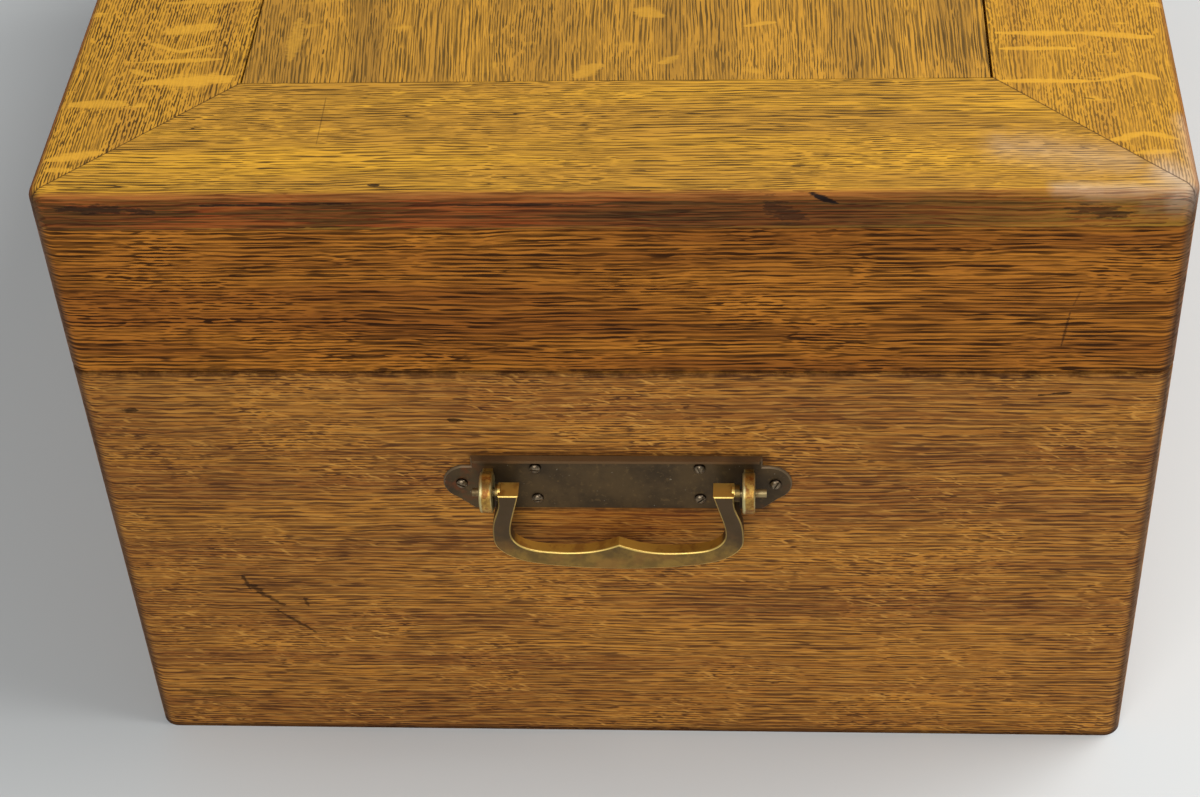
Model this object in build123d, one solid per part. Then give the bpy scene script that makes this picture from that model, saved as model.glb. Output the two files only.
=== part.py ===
from build123d import *
import math
import os

# An oak silverware chest. +X runs along its length to the right-hand end, -Y is the lock side,
# +Y the hinged side, +Z is up. The origin is the centre of the face that it stands on. Millimetres.

# Case and lid
CHEST_LENGTH = 559.0
CHEST_WIDTH = 381.0
CASE_HEIGHT = 192.2
SEAM_GAP = 0.5
LID_BAND_HEIGHT = 63.6
TOP_FRAME_THICKNESS = 14.2
WALL = 16.0
CORNER_RADIUS = 7.0
TOP_EDGE_RADIUS = 4.0
RIM_EDGE_RADIUS = 1.0
BOTTOM_THICKNESS = 10.0
BOTTOM_REBATE = 8.0

# Mitred frame on the lid, and the panel that floats in its grooves
FRAME_MEMBER_WIDTH = 62.0
PANEL_THICKNESS = 9.5
TONGUE_THICKNESS = 4.5
TONGUE_LENGTH = 7.0
GROOVE_SPARE = 1.5
FRONT_SHRINK_GAP = 0.8
BACK_SHRINK_GAP = 1.0
END_SHRINK_GAP = 0.2

# Cloth linings
LINING_THICKNESS = 1.2
LINING_BELOW_RIM = 5.0
LID_LINING_BOARD = 3.0
LINING_FROM_LOCK = 1.5

# Lift-out tray
TRAY_CLEARANCE = 4.0
TRAY_BELOW_RIM = 5.2
TRAY_HEIGHT = 58.0
TRAY_WALL = 7.0
TRAY_BOTTOM_THICKNESS = 4.0
TRAY_BOTTOM_REBATE = 3.5
TRAY_REST_GAP = 0.2
TRAY_LINING = 1.0
CLEAT_SIZE = 12.0
SCOOP_RADIUS = 22.0
SCOOP_DEPTH = 16.0
DIVIDER_THICKNESS = 5.0
DIVIDER_HEIGHT = 36.0
CROSS_DIVIDER_OFFSET = 60.0
LONG_DIVIDER_COUNT = 3
SHORT_DIVIDER_COUNT = 2

# Stop hinges
HINGE_LENGTH = 64.0
HINGE_FROM_END = 110.0
HINGE_SET_OUT = 2.0
LEAF_THICKNESS = 1.6
LEAF_DEPTH_IN_WALL = 13.0
BARREL_RADIUS = 3.4
HINGE_PIN_RADIUS = 1.6
HINGE_PIN_CLEARANCE = 0.05
KNUCKLE_COUNT = 5
KNUCKLE_GAP = 0.2
BARREL_CLEARANCE = 0.35
STOP_LUG_REACH = 4.2
STOP_LUG_THICKNESS = 2.2
STOP_LUG_ROOT = 0.8
LID_OPENING_ANGLE = 95.0
STOP_SPARE_ANGLE = 2.5
HINGE_SCREW_COUNT = 3

# Flat-headed wood screws
BOTTOM_SCREW = (3.0, 1.5, 22.0)
HINGE_SCREW = (2.8, 1.3, 12.0)
LOCK_SCREW = (2.2, 1.0, 9.0)
BOTTOM_SCREW_SPACING = 120.0
BOTTOM_SCREW_FROM_CORNER = 40.0
HINGE_SCREW_FROM_END = 9.0
LOCK_SCREW_ABOVE_PLATE_FOOT = 4.2
LOCK_SCREW_BELOW_SELVEDGE = 5.2
LINK_SCREW_FROM_END = 8.0
SCREW_SLOT_WIDTH = 0.7
SCREW_SLOT_DEPTH = 0.6

# Box lock in the middle of the front
LOCK_PLATE_LENGTH = 76.0
LOCK_PLATE_HEIGHT = 34.0
LOCK_PLATE_THICKNESS = 1.6
LOCK_BOX_LENGTH = 56.0
LOCK_BOX_DEPTH = 9.0
LOCK_BOX_BELOW_PLATE = 2.0
LOCK_SIDE_WALL = 1.4
LOCK_COVER_THICKNESS = 1.2
SELVEDGE_THICKNESS = 1.8
SELVEDGE_WIDTH = 12.0
BOLT_THICKNESS = 3.0
BOLT_PLATE_LENGTH = 42.0
BOLT_PLATE_HEIGHT = 18.0
BOLT_THROW = 5.0
FINGER_LENGTH = 5.6
FINGER_HEIGHT = 2.6
FINGER_THICKNESS = 1.8
FINGER_POST = 3.0
FINGER_GAP = 1.0
LOOP_SPACING = 26.0
LOOP_THICKNESS = 2.4
LOOP_WIDTH = 4.6
LOOP_REACH = 10.0
LOOP_CLEARANCE = 0.5
LOOP_HOLE_BELOW_LID = 6.2
LOOP_HOLE_SPARE = 0.4
LINK_PLATE_LENGTH = 60.0
GUIDE_STUD_RADIUS = 1.5
GUIDE_STUD_CLEARANCE = 0.15
OVERSHOOT = 1.0

# Key and keyhole
KEY_BELOW_RIM = 20.0
KEY_SHAFT_RADIUS = 2.2
KEY_BORE_CLEARANCE = 0.06
KEY_BIT_REACH = 5.0
KEY_BIT_THICKNESS = 1.6
KEY_BIT_LENGTH = 4.0
KEY_TIP_BEHIND_PLATE_FACE = 0.4
TALON_BEFORE_BIT = 1.6
TALON_AFTER_BIT = 1.1
KEYHOLE_CLEARANCE = 0.7
KEY_COLLAR_RADIUS = 3.4
KEY_COLLAR_WIDTH = 2.0
KEY_COLLAR_OUT = 7.0
KEY_NECK = 3.0
BOW_HALF_HEIGHT = 11.0
BOW_HALF_LENGTH = 8.5
BOW_RIM = 3.6
BOW_THICKNESS = 2.8
ESCUTCHEON_HALF_WIDTH = 8.0
ESCUTCHEON_HALF_HEIGHT = 12.5
ESCUTCHEON_THICKNESS = 1.0
ESCUTCHEON_PIN_RADIUS = 0.8
ESCUTCHEON_PIN_HEAD = 1.2
ESCUTCHEON_PIN_LENGTH = 6.0
ESCUTCHEON_PIN_EDGE = 2.6

# Carrying handle on each end
HANDLE_BELOW_RIM = 49.3
HANDLE_OFF_CENTRE = -0.6
HANDLE_PIN_OUT = 8.8
PLATE_LENGTH = 104.0
PLATE_SIDE_SHIFT = -0.4
PLATE_ABOVE_PIN = 9.1
PLATE_BELOW_PIN = 15.9
PLATE_THICKNESS = 1.2
PLATE_BEVEL = 0.5
LIP_REACH = 2.9
LIP_TAPER = 1.2
LOBE_RADIUS = 8.3
LOBE_SPACING = 108.4
LOBE_BELOW_PIN = 3.1
LOBE_FOOT_INSET = 1.6
LOBE_SLOPE = -64.0
EAR_SPACING = 93.1
EAR_SIDE_SHIFT = 0.25
EAR_RADIUS = 7.4
EAR_THICKNESS = 4.4
EAR_FOOT_HALF_HEIGHT = 4.3
EAR_RIVET_RADIUS = 1.5
EAR_EDGE_BEVEL = 0.4
BAIL_PIN_RADIUS = 1.5
BAIL_PIN_CLEARANCE = 0.06
BAIL_PIN_STUBS = (3.0, 4.1)
BAIL_PIN_IN_BOSS = 5.2
BAIL_SIDE_PLAY = 0.95
BAIL_COLLAR_WIDTHS = (1.0, 2.0)
BAIL_COLLAR_RADIUS = 3.1
BAIL_COLLAR_ROOT = 0.8
BAIL_BOSS_DEPTH = 6.8
BAIL_BAR_DEPTH = 4.5
BAIL_BACK_OF_PIN = 2.6
BAIL_BOSS_BELOW_PIN = 4.0
BAIL_WAIST_BELOW_PIN = 13.0
BAIL_TOP_ABOVE_PIN = 2.3
BAIL_BOSS_WIDTH = 7.4
BAIL_BOSS_LEAN = 0.24
BAIL_ARM_WIDTH = 6.6
BAIL_DROP = 37.9
BAIL_FLARE = 3.3
BAIL_BAR_HEIGHT = 8.9
BAIL_CUSP_RISE = 4.5
BAIL_CUSP_SLOPE = -0.5
BAIL_HANG_ANGLE = 4.0
BAIL_EDGE_RADIUS = 0.7
# Points of the bail's curves: how far inside its widest line, and how far above its foot or bar
BAIL_OUTER_CURVE = ((0.6, 25.1), (0.0, 18.4), (0.6, 12.8), (4.0, 8.0), (17.2, 2.3), (32.2, 0.5))
BAIL_INNER_CURVE = ((34.0, 2.35), (26.6, 0.4), (18.6, 0.0), (10.9, 0.7), (5.5, 2.2), (0.7, 7.1), (0.0, 11.0),
                    (1.3, 19.5))
HANDLE_SCREW_SPACING = 58.6
HANDLE_SCREW_UP = 4.9
HANDLE_SCREW_DOWN = 10.2
LOBE_SCREW_SPACING = 112.4
LOBE_SCREW_DOWN = 2.8
HANDLE_SCREW_HEAD_RADIUS = 2.15
HANDLE_SCREW_HEAD_HEIGHT = 1.6
HANDLE_SCREW_SHANK_RADIUS = 1.1
HANDLE_SCREW_LENGTH = 10.0
HANDLE_SCREW_SLOT_ANGLES = (82.0, 97.0, 20.0, 128.0, 65.0, 150.0)

# Levels and faces that follow from the sizes above
HALF_LENGTH = CHEST_LENGTH / 2
HALF_WIDTH = CHEST_WIDTH / 2
RIM_Z = CASE_HEIGHT
LID_Z = RIM_Z + SEAM_GAP
FRAME_Z = LID_Z + LID_BAND_HEIGHT
TOP_Z = FRAME_Z + TOP_FRAME_THICKNESS
INSIDE_HALF_LENGTH = HALF_LENGTH - WALL
INSIDE_HALF_WIDTH = HALF_WIDTH - WALL
FRONT_INNER_Y = -INSIDE_HALF_WIDTH
LINING_HALF_LENGTH = INSIDE_HALF_LENGTH - LINING_THICKNESS
LINING_HALF_WIDTH = INSIDE_HALF_WIDTH - LINING_THICKNESS
TRAY_TOP_Z = RIM_Z - TRAY_BELOW_RIM
TRAY_Z = TRAY_TOP_Z - TRAY_HEIGHT
TRAY_HALF_LENGTH = LINING_HALF_LENGTH - TRAY_CLEARANCE
TRAY_HALF_WIDTH = LINING_HALF_WIDTH - TRAY_CLEARANCE
CLEAT_TOP_Z = TRAY_Z - TRAY_REST_GAP
HINGE_Y = HALF_WIDTH + HINGE_SET_OUT
HINGE_Z = RIM_Z + SEAM_GAP / 2
KEY_Z = RIM_Z - KEY_BELOW_RIM
HANDLE_Z = RIM_Z - HANDLE_BELOW_RIM
HANDLE_X = HALF_LENGTH + HANDLE_PIN_OUT
INNER_EAR = (EAR_SPACING - EAR_THICKNESS) / 2
BOSS_HALF_SPREAD = INNER_EAR - BAIL_SIDE_PLAY - sum(BAIL_COLLAR_WIDTHS) / 2
BAIL_CENTRE_Y = EAR_SIDE_SHIFT + (BAIL_COLLAR_WIDTHS[0] - BAIL_COLLAR_WIDTHS[1]) / 2

parts = {}


def block(x0, x1, y0, y1, z0, z1):
    """A box between two opposite corners."""
    return Pos((x0 + x1) / 2, (y0 + y1) / 2, (z0 + z1) / 2) * Box(x1 - x0, y1 - y0, z1 - z0)


def rod(radius, start, end):
    """A round bar between two points."""
    start = Vector(*start)
    along = Vector(*end) - start
    return Solid.make_cylinder(radius, along.length, Plane(origin=start, z_dir=along))


def prism(points, z0, z1):
    """An upright prism on a closed outline of XY points."""
    return Pos(0, 0, z0) * extrude(make_face(Polyline(*points, close=True)), z1 - z0)


def several(solids):
    """Separate solids kept together under one name."""
    return Compound(children=[s.solid() for s in solids])


def cut(body, *tools):
    """A body with tools taken out of it, as one solid."""
    for tool in tools:
        body = body - tool
    return body.solid()


def joined(body, *others):
    """Bodies that touch, made one solid."""
    for other in others:
        body = body + other
    return body.solid()


def flat_screw(size, point, direction, slot_angle):
    """A countersunk slotted screw whose head lies flush at point, and the hole that it fills."""
    head_radius, shank_radius, length = size
    plane = Plane(origin=point, z_dir=direction)
    head_height = head_radius - shank_radius
    head = Solid.make_cone(head_radius, shank_radius, head_height, plane)
    shank = Solid.make_cylinder(shank_radius, length, plane)
    hole = joined(head, shank)
    slot = Box(2.2 * head_radius, SCREW_SLOT_WIDTH, 2 * SCREW_SLOT_DEPTH)
    return cut(hole, plane.location * Rot(0, 0, slot_angle) * slot), hole


def round_screw(head_radius, head_height, shank_radius, length, point, direction, slot_angle):
    """A round-headed slotted screw seated at point, and the hole that its shank fills."""
    plane = Plane(origin=point, z_dir=direction)
    bulge = (head_radius * math.cos(math.radians(40)), head_height * math.sin(math.radians(50)))
    side = ThreePointArc((head_radius, 0), bulge, (0, head_height))
    base = Polyline((0, head_height), (0, 0), (head_radius, 0))
    dome = plane.location * revolve(Plane.XZ * make_face([side, base]), Axis.Z)
    shank = Solid.make_cylinder(shank_radius, length, Plane(origin=point, z_dir=-plane.z_dir))
    slot = Pos(0, 0, head_height) * Box(2.2 * head_radius, SCREW_SLOT_WIDTH, 2 * SCREW_SLOT_DEPTH)
    return cut(joined(dome, shank), plane.location * Rot(0, 0, slot_angle) * slot), shank


def evenly(low, high, count):
    """Evenly spaced places from low to high, both counted."""
    return [low + (high - low) * i / (count - 1) for i in range(count)]


def mitred_prism(side, half_length, half_width, wall, z0, z1):
    """One board of a mitred frame, as wide as wall, before any edge is rounded."""
    inner_length, inner_width = half_length - wall, half_width - wall
    corners = {
        "front": [(-half_length, -half_width), (half_length, -half_width),
                  (inner_length, -inner_width), (-inner_length, -inner_width)],
        "back": [(half_length, half_width), (-half_length, half_width),
                 (-inner_length, inner_width), (inner_length, inner_width)],
        "left": [(-half_length, half_width), (-half_length, -half_width),
                 (-inner_length, -inner_width), (-inner_length, inner_width)],
        "right": [(half_length, -half_width), (half_length, half_width),
                  (inner_length, inner_width), (inner_length, -inner_width)],
    }
    return prism(corners[side], z0, z1)


def rounded_block(z0, z1, top_radius=0.0, bottom_radius=0.0):
    """The chest's outer shape between two levels, with its upright and level edges rounded."""
    body = block(-HALF_LENGTH, HALF_LENGTH, -HALF_WIDTH, HALF_WIDTH, z0, z1)
    body = fillet(body.edges().filter_by(Axis.Z), CORNER_RADIUS)
    if top_radius:
        body = fillet(body.faces().sort_by(Axis.Z)[-1].edges(), top_radius)
    if bottom_radius:
        body = fillet(body.faces().sort_by(Axis.Z)[0].edges(), bottom_radius)
    return body


def inner_ring(z0, z1, thickness):
    """A thin lining round the four inner faces."""
    outer = block(-INSIDE_HALF_LENGTH, INSIDE_HALF_LENGTH, -INSIDE_HALF_WIDTH, INSIDE_HALF_WIDTH, z0, z1)
    inner_length, inner_width = INSIDE_HALF_LENGTH - thickness, INSIDE_HALF_WIDTH - thickness
    return outer - block(-inner_length, inner_length, -inner_width, inner_width, z0 - OVERSHOOT, z1 + OVERSHOOT)


def keyhole(y0, y1):
    """A round hole with a slot below it, for the key's shaft and bit."""
    radius = KEY_SHAFT_RADIUS + KEYHOLE_CLEARANCE
    half_slot = KEY_BIT_THICKNESS / 2 + KEYHOLE_CLEARANCE / 2
    slot_foot = KEY_Z - KEY_BIT_REACH - KEYHOLE_CLEARANCE
    return joined(
        rod(radius, (0, y0, KEY_Z), (0, y1, KEY_Z)),
        block(-half_slot, half_slot, y0, y1, slot_foot, KEY_Z),
    )


def make_lock():
    """The box lock, its bolt, cover and screws, and the pocket that it needs in the front board."""
    inner = FRONT_INNER_Y
    half_plate, half_box = LOCK_PLATE_LENGTH / 2, LOCK_BOX_LENGTH / 2
    plate_foot = RIM_Z - LOCK_PLATE_HEIGHT
    box_foot = plate_foot + LOCK_BOX_BELOW_PLATE
    selvedge_z = RIM_Z - SELVEDGE_THICKNESS
    plate_back = inner - LOCK_PLATE_THICKNESS
    cover_y = inner - LOCK_BOX_DEPTH
    cavity_y = cover_y + LOCK_COVER_THICKNESS
    mid_y = (cavity_y + plate_back) / 2

    plate = block(-half_plate, half_plate, plate_back, inner, plate_foot, RIM_Z)
    selvedge = block(-half_plate, half_plate, inner - SELVEDGE_WIDTH, inner, selvedge_z, RIM_Z)
    box = block(-half_box, half_box, cavity_y, inner, box_foot, RIM_Z)
    cavity = block(-half_box + LOCK_SIDE_WALL, half_box - LOCK_SIDE_WALL, cavity_y - OVERSHOOT, plate_back,
                   box_foot + LOCK_SIDE_WALL, selvedge_z)
    case = joined(plate, selvedge, box) - cavity
    for x in (-LOOP_SPACING / 2, LOOP_SPACING / 2):
        half_x = LOOP_THICKNESS / 2 + LOOP_CLEARANCE
        half_y = LOOP_WIDTH / 2 + LOOP_CLEARANCE
        slot = block(x - half_x, x + half_x, mid_y - half_y, mid_y + half_y,
                     selvedge_z - OVERSHOOT, RIM_Z + OVERSHOOT)
        case = case - slot
        case = case + rod(GUIDE_STUD_RADIUS, (x, cavity_y, KEY_Z), (x, plate_back, KEY_Z))
    pin_bore = KEY_SHAFT_RADIUS + KEY_BORE_CLEARANCE
    case = case - rod(pin_bore, (0, plate_back - OVERSHOOT, KEY_Z), (0, inner + OVERSHOOT, KEY_Z))
    cover = block(-half_box, half_box, cover_y, cavity_y, box_foot, selvedge_z)
    cover = cover - keyhole(cover_y - OVERSHOOT, cavity_y + OVERSHOOT)

    screw_x = (half_plate + half_box) / 2
    plate_rows = (plate_foot + LOCK_SCREW_ABOVE_PLATE_FOOT, selvedge_z - LOCK_SCREW_BELOW_SELVEDGE)
    selvedge_y = inner - SELVEDGE_WIDTH / 2
    seats = [((x, inner, z), (0, -1, 0)) for x in (-screw_x, screw_x) for z in plate_rows]
    seats += [((x, selvedge_y, RIM_Z), (0, 0, -1)) for x in (-screw_x, screw_x)]
    screws, holes = [], []
    for number, (point, direction) in enumerate(seats):
        screw, hole = flat_screw(LOCK_SCREW, point, direction, 37 * number)
        screws.append(screw)
        holes.append(hole)

    pocket = joined(plate, selvedge, block(-half_box, half_box, cover_y, inner, box_foot, RIM_Z))
    parts["lock_case"] = cut(case, *holes)
    parts["lock_cover"] = cover
    parts["lock_screws"] = several(screws)
    parts["lock_bolt"] = make_bolt(mid_y)
    return [pocket, keyhole(-HALF_WIDTH - OVERSHOOT, cover_y + OVERSHOOT), *holes]


def make_bolt(mid_y):
    """The sliding bolt: a plate with a talon for the key's bit, slots for the guide studs in the
    lock, and two fingers for the lid's loops. It slides towards -X to lock."""
    back, front = mid_y - BOLT_THICKNESS / 2, mid_y + BOLT_THICKNESS / 2
    half_height = BOLT_PLATE_HEIGHT / 2
    half_loops = LOOP_SPACING / 2
    tips = [x + LOOP_THICKNESS / 2 + FINGER_GAP for x in (-half_loops, half_loops)]
    right_end = tips[1] + FINGER_LENGTH + FINGER_POST
    left_end = right_end - BOLT_PLATE_LENGTH
    bolt = block(left_end, right_end, back, front, KEY_Z - half_height, KEY_Z + half_height)
    shaft_room = KEY_SHAFT_RADIUS + KEYHOLE_CLEARANCE
    talon_top = KEY_Z - shaft_room
    cut_back, cut_front = back - OVERSHOOT, front + OVERSHOOT
    window = block(-shaft_room, BOLT_THROW + shaft_room, cut_back, cut_front, talon_top, KEY_Z + shaft_room)
    bit_half = KEY_BIT_THICKNESS / 2
    talon_foot = KEY_Z - KEY_BIT_REACH - KEYHOLE_CLEARANCE
    talon = block(-bit_half - TALON_BEFORE_BIT, bit_half + TALON_AFTER_BIT, cut_back, cut_front,
                  talon_foot, talon_top)
    bolt = bolt - window - talon
    slot_half = GUIDE_STUD_RADIUS + GUIDE_STUD_CLEARANCE
    for x in (-half_loops, half_loops):
        bolt = bolt - block(x - slot_half, x + BOLT_THROW + slot_half, cut_back, cut_front,
                            KEY_Z - slot_half, KEY_Z + slot_half)
    finger_z = LID_Z - LOOP_HOLE_BELOW_LID
    finger_half = FINGER_HEIGHT / 2
    thin_back, thin_front = mid_y - FINGER_THICKNESS / 2, mid_y + FINGER_THICKNESS / 2
    for tip in tips:
        post_x = tip + FINGER_LENGTH
        post = block(post_x, post_x + FINGER_POST, thin_back, thin_front, KEY_Z, finger_z + finger_half)
        finger = block(tip, post_x, thin_back, thin_front, finger_z - finger_half, finger_z + finger_half)
        bolt = bolt + post + finger
    return bolt.solid()


def make_link_plate():
    """The plate in the lid's front edge with two loops for the bolt, and the room that it needs."""
    mid_y = FRONT_INNER_Y - (LOCK_BOX_DEPTH - LOCK_COVER_THICKNESS + LOCK_PLATE_THICKNESS) / 2
    half = LINK_PLATE_LENGTH / 2
    outer_y = FRONT_INNER_Y - SELVEDGE_WIDTH
    plate = block(-half, half, outer_y, FRONT_INNER_Y, LID_Z, LID_Z + SELVEDGE_THICKNESS)
    body = plate
    hole_z = LID_Z - LOOP_HOLE_BELOW_LID
    hole_half_z = FINGER_HEIGHT / 2 + LOOP_HOLE_SPARE
    hole_half_y = FINGER_THICKNESS / 2 + LOOP_HOLE_SPARE
    for x in (-LOOP_SPACING / 2, LOOP_SPACING / 2):
        x0, x1 = x - LOOP_THICKNESS / 2, x + LOOP_THICKNESS / 2
        half_loop = LOOP_WIDTH / 2
        loop_top = LID_Z + SELVEDGE_THICKNESS / 2
        loop = block(x0, x1, mid_y - half_loop, mid_y + half_loop, LID_Z - LOOP_REACH, loop_top)
        eye = block(x0 - OVERSHOOT, x1 + OVERSHOOT, mid_y - hole_half_y, mid_y + hole_half_y,
                    hole_z - hole_half_z, hole_z + hole_half_z)
        body = body + (loop - eye)
    screws, holes = [], []
    for number, x in enumerate((-half + LINK_SCREW_FROM_END, half - LINK_SCREW_FROM_END)):
        point = (x, FRONT_INNER_Y - SELVEDGE_WIDTH / 2, LID_Z)
        screw, hole = flat_screw(LOCK_SCREW, point, (0, 0, 1), 60 * number + 15)
        screws.append(screw)
        holes.append(hole)
    parts["link_plate"] = cut(body, *holes)
    parts["link_plate_screws"] = several(screws)
    return [plate, *holes]


def make_key():
    """The key in its lock: a shaft with a bit pointing down, a collar and an open oval bow."""
    outside = -HALF_WIDTH
    collar_y = outside - KEY_COLLAR_OUT
    bow_y = collar_y - KEY_COLLAR_WIDTH - KEY_NECK - BOW_HALF_LENGTH
    tip_y = FRONT_INNER_Y - KEY_TIP_BEHIND_PLATE_FACE
    shaft = rod(KEY_SHAFT_RADIUS, (0, bow_y + BOW_HALF_LENGTH - BOW_RIM / 2, KEY_Z), (0, tip_y, KEY_Z))
    collar = rod(KEY_COLLAR_RADIUS, (0, collar_y - KEY_COLLAR_WIDTH, KEY_Z), (0, collar_y, KEY_Z))
    bit_mid = FRONT_INNER_Y - (LOCK_BOX_DEPTH - LOCK_COVER_THICKNESS + LOCK_PLATE_THICKNESS) / 2
    bit = block(-KEY_BIT_THICKNESS / 2, KEY_BIT_THICKNESS / 2, bit_mid - KEY_BIT_LENGTH / 2,
                bit_mid + KEY_BIT_LENGTH / 2, KEY_Z - KEY_BIT_REACH, KEY_Z)
    ring = Ellipse(BOW_HALF_LENGTH, BOW_HALF_HEIGHT)
    ring = ring - Ellipse(BOW_HALF_LENGTH - BOW_RIM, BOW_HALF_HEIGHT - BOW_RIM)
    bow = Pos(-BOW_THICKNESS / 2, bow_y, KEY_Z) * extrude(Plane.YZ * ring, BOW_THICKNESS)
    bow = fillet(bow.edges(), BOW_THICKNESS / 4)
    parts["key"] = joined(shaft, collar, bit, bow)


def make_escutcheon():
    """The oval keyhole plate on the front, and its two pins."""
    face = -HALF_WIDTH
    oval = Plane.XZ * Ellipse(ESCUTCHEON_HALF_WIDTH, ESCUTCHEON_HALF_HEIGHT)
    plate_z = KEY_Z - KEY_BIT_REACH / 3
    plate = Pos(0, face, plate_z) * extrude(oval, ESCUTCHEON_THICKNESS)
    plate = plate - keyhole(face - ESCUTCHEON_THICKNESS - OVERSHOOT, face + OVERSHOOT)
    front = face - ESCUTCHEON_THICKNESS
    pins, holes = [], []
    for side in (-1, 1):
        z = plate_z + side * (ESCUTCHEON_HALF_HEIGHT - ESCUTCHEON_PIN_EDGE)
        shank = rod(ESCUTCHEON_PIN_RADIUS, (0, front, z), (0, front + ESCUTCHEON_PIN_LENGTH, z))
        dome = Pos(0, front, z) * Sphere(ESCUTCHEON_PIN_HEAD)
        reach = 2 * ESCUTCHEON_PIN_HEAD
        dome = dome - block(-reach, reach, front, front + reach, z - reach, z + reach)
        pins.append(joined(shank, dome))
        holes.append(shank)
    parts["escutcheon"] = cut(plate, *holes)
    parts["escutcheon_pins"] = several(pins)
    return holes


def hinge_spans(centre):
    """The start and end of each knuckle along X."""
    pitch = HINGE_LENGTH / KNUCKLE_COUNT
    start = centre - HINGE_LENGTH / 2
    return [(start + i * pitch + KNUCKLE_GAP / 2, start + (i + 1) * pitch - KNUCKLE_GAP / 2)
            for i in range(KNUCKLE_COUNT)]


def stop_lug(x0, x1, inner_radius, side):
    """A plate standing out from the barrel whose flat stop face lies on a plane through the axis.

    side is 1 for the lid's lug, above the axis, and -1 for the case's, below it."""
    half_stop = (LID_OPENING_ANGLE + STOP_SPARE_ANGLE) / 2
    outer = BARREL_RADIUS + STOP_LUG_REACH
    low, high = (0.0, STOP_LUG_THICKNESS) if side > 0 else (-STOP_LUG_THICKNESS, 0.0)
    lug = block(x0, x1, inner_radius, outer, low, high)
    return Pos(0, HINGE_Y, HINGE_Z) * Rot(side * half_stop, 0, 0) * lug


def make_hinge(name, centre):
    """One stop hinge: two leaves with their knuckles and lugs, a pin and screws, and its room in the wood."""
    spans = hinge_spans(centre)
    x0, x1 = spans[0][0], spans[-1][1]
    leaf_edge = HALF_WIDTH - LEAF_DEPTH_IN_WALL
    levels = {"case": (RIM_Z - LEAF_THICKNESS, RIM_Z), "lid": (LID_Z, LID_Z + LEAF_THICKNESS)}
    own = {"case": spans[0::2], "lid": spans[1::2]}
    other = {"case": spans[1::2], "lid": spans[0::2]}
    bore_radii = {"case": HINGE_PIN_RADIUS, "lid": HINGE_PIN_RADIUS + HINGE_PIN_CLEARANCE}
    middle = spans[KNUCKLE_COUNT // 2]
    pockets = {}
    for leaf_name, (z0, z1) in levels.items():
        plate = block(x0, x1, leaf_edge, HINGE_Y, z0, z1)
        leaf = plate
        for a, b in other[leaf_name]:
            gap = KNUCKLE_GAP
            radius = BARREL_RADIUS + BARREL_CLEARANCE
            leaf = leaf - rod(radius, (a - gap, HINGE_Y, HINGE_Z), (b + gap, HINGE_Y, HINGE_Z))
        for a, b in own[leaf_name]:
            leaf = leaf + rod(BARREL_RADIUS, (a, HINGE_Y, HINGE_Z), (b, HINGE_Y, HINGE_Z))
        rooted = BARREL_RADIUS - STOP_LUG_ROOT
        if leaf_name == "lid":
            for a, b in own["lid"]:
                leaf = leaf + stop_lug(a, b, rooted, 1)
        else:
            reach_x = (own["lid"][0][0], own["lid"][-1][1])
            clear = BARREL_RADIUS + BARREL_CLEARANCE
            leaf = leaf + stop_lug(middle[0], middle[1], rooted, -1)
            leaf = leaf + stop_lug(reach_x[0], reach_x[1], clear, -1)
        bore_ends = (x0 - OVERSHOOT, HINGE_Y, HINGE_Z), (x1 + OVERSHOOT, HINGE_Y, HINGE_Z)
        leaf = leaf - rod(bore_radii[leaf_name], *bore_ends)
        screws, holes = [], []
        direction = (0, 0, -1) if leaf_name == "case" else (0, 0, 1)
        face_z = RIM_Z if leaf_name == "case" else LID_Z
        screw_y = (leaf_edge + HALF_WIDTH - BARREL_RADIUS) / 2
        screw_ends = x0 + HINGE_SCREW_FROM_END, x1 - HINGE_SCREW_FROM_END
        for number, x in enumerate(evenly(*screw_ends, HINGE_SCREW_COUNT)):
            screw, hole = flat_screw(HINGE_SCREW, (x, screw_y, face_z), direction, 50 * number + centre)
            screws.append(screw)
            holes.append(hole)
        parts[f"{name}_hinge_{leaf_name}_leaf"] = cut(leaf, *holes)
        hinge_screws[leaf_name] += screws
        barrel_room = rod(BARREL_RADIUS + BARREL_CLEARANCE, (x0, HINGE_Y, HINGE_Z), (x1, HINGE_Y, HINGE_Z))
        pockets[leaf_name] = [block(x0, x1, leaf_edge, HINGE_Y, z0, z1), barrel_room, *holes]
    hinge_pins.append(rod(HINGE_PIN_RADIUS, (x0, HINGE_Y, HINGE_Z), (x1, HINGE_Y, HINGE_Z)))
    return pockets


def plate_outline():
    """The handle plate seen from outside: a rectangle with a rounded lobe at each end."""
    half = PLATE_LENGTH / 2
    foot = -PLATE_BELOW_PIN
    sheet = Pos(0, (PLATE_ABOVE_PIN + foot) / 2) * Rectangle(PLATE_LENGTH, PLATE_ABOVE_PIN - foot)
    slope = math.radians(LOBE_SLOPE)
    for side in (-1, 1):
        centre = (side * LOBE_SPACING / 2, -LOBE_BELOW_PIN)
        shoulder = -LOBE_BELOW_PIN + LOBE_RADIUS
        low = (centre[0] + side * LOBE_RADIUS * math.cos(slope), centre[1] + LOBE_RADIUS * math.sin(slope))
        web = Polyline((side * (half - LOBE_FOOT_INSET), shoulder), (centre[0], shoulder), centre, low,
                       (side * half, foot), (side * (half - LOBE_FOOT_INSET), foot), close=True)
        sheet = sheet + Pos(*centre) * Circle(LOBE_RADIUS) + make_face(web)
    return sheet


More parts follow.
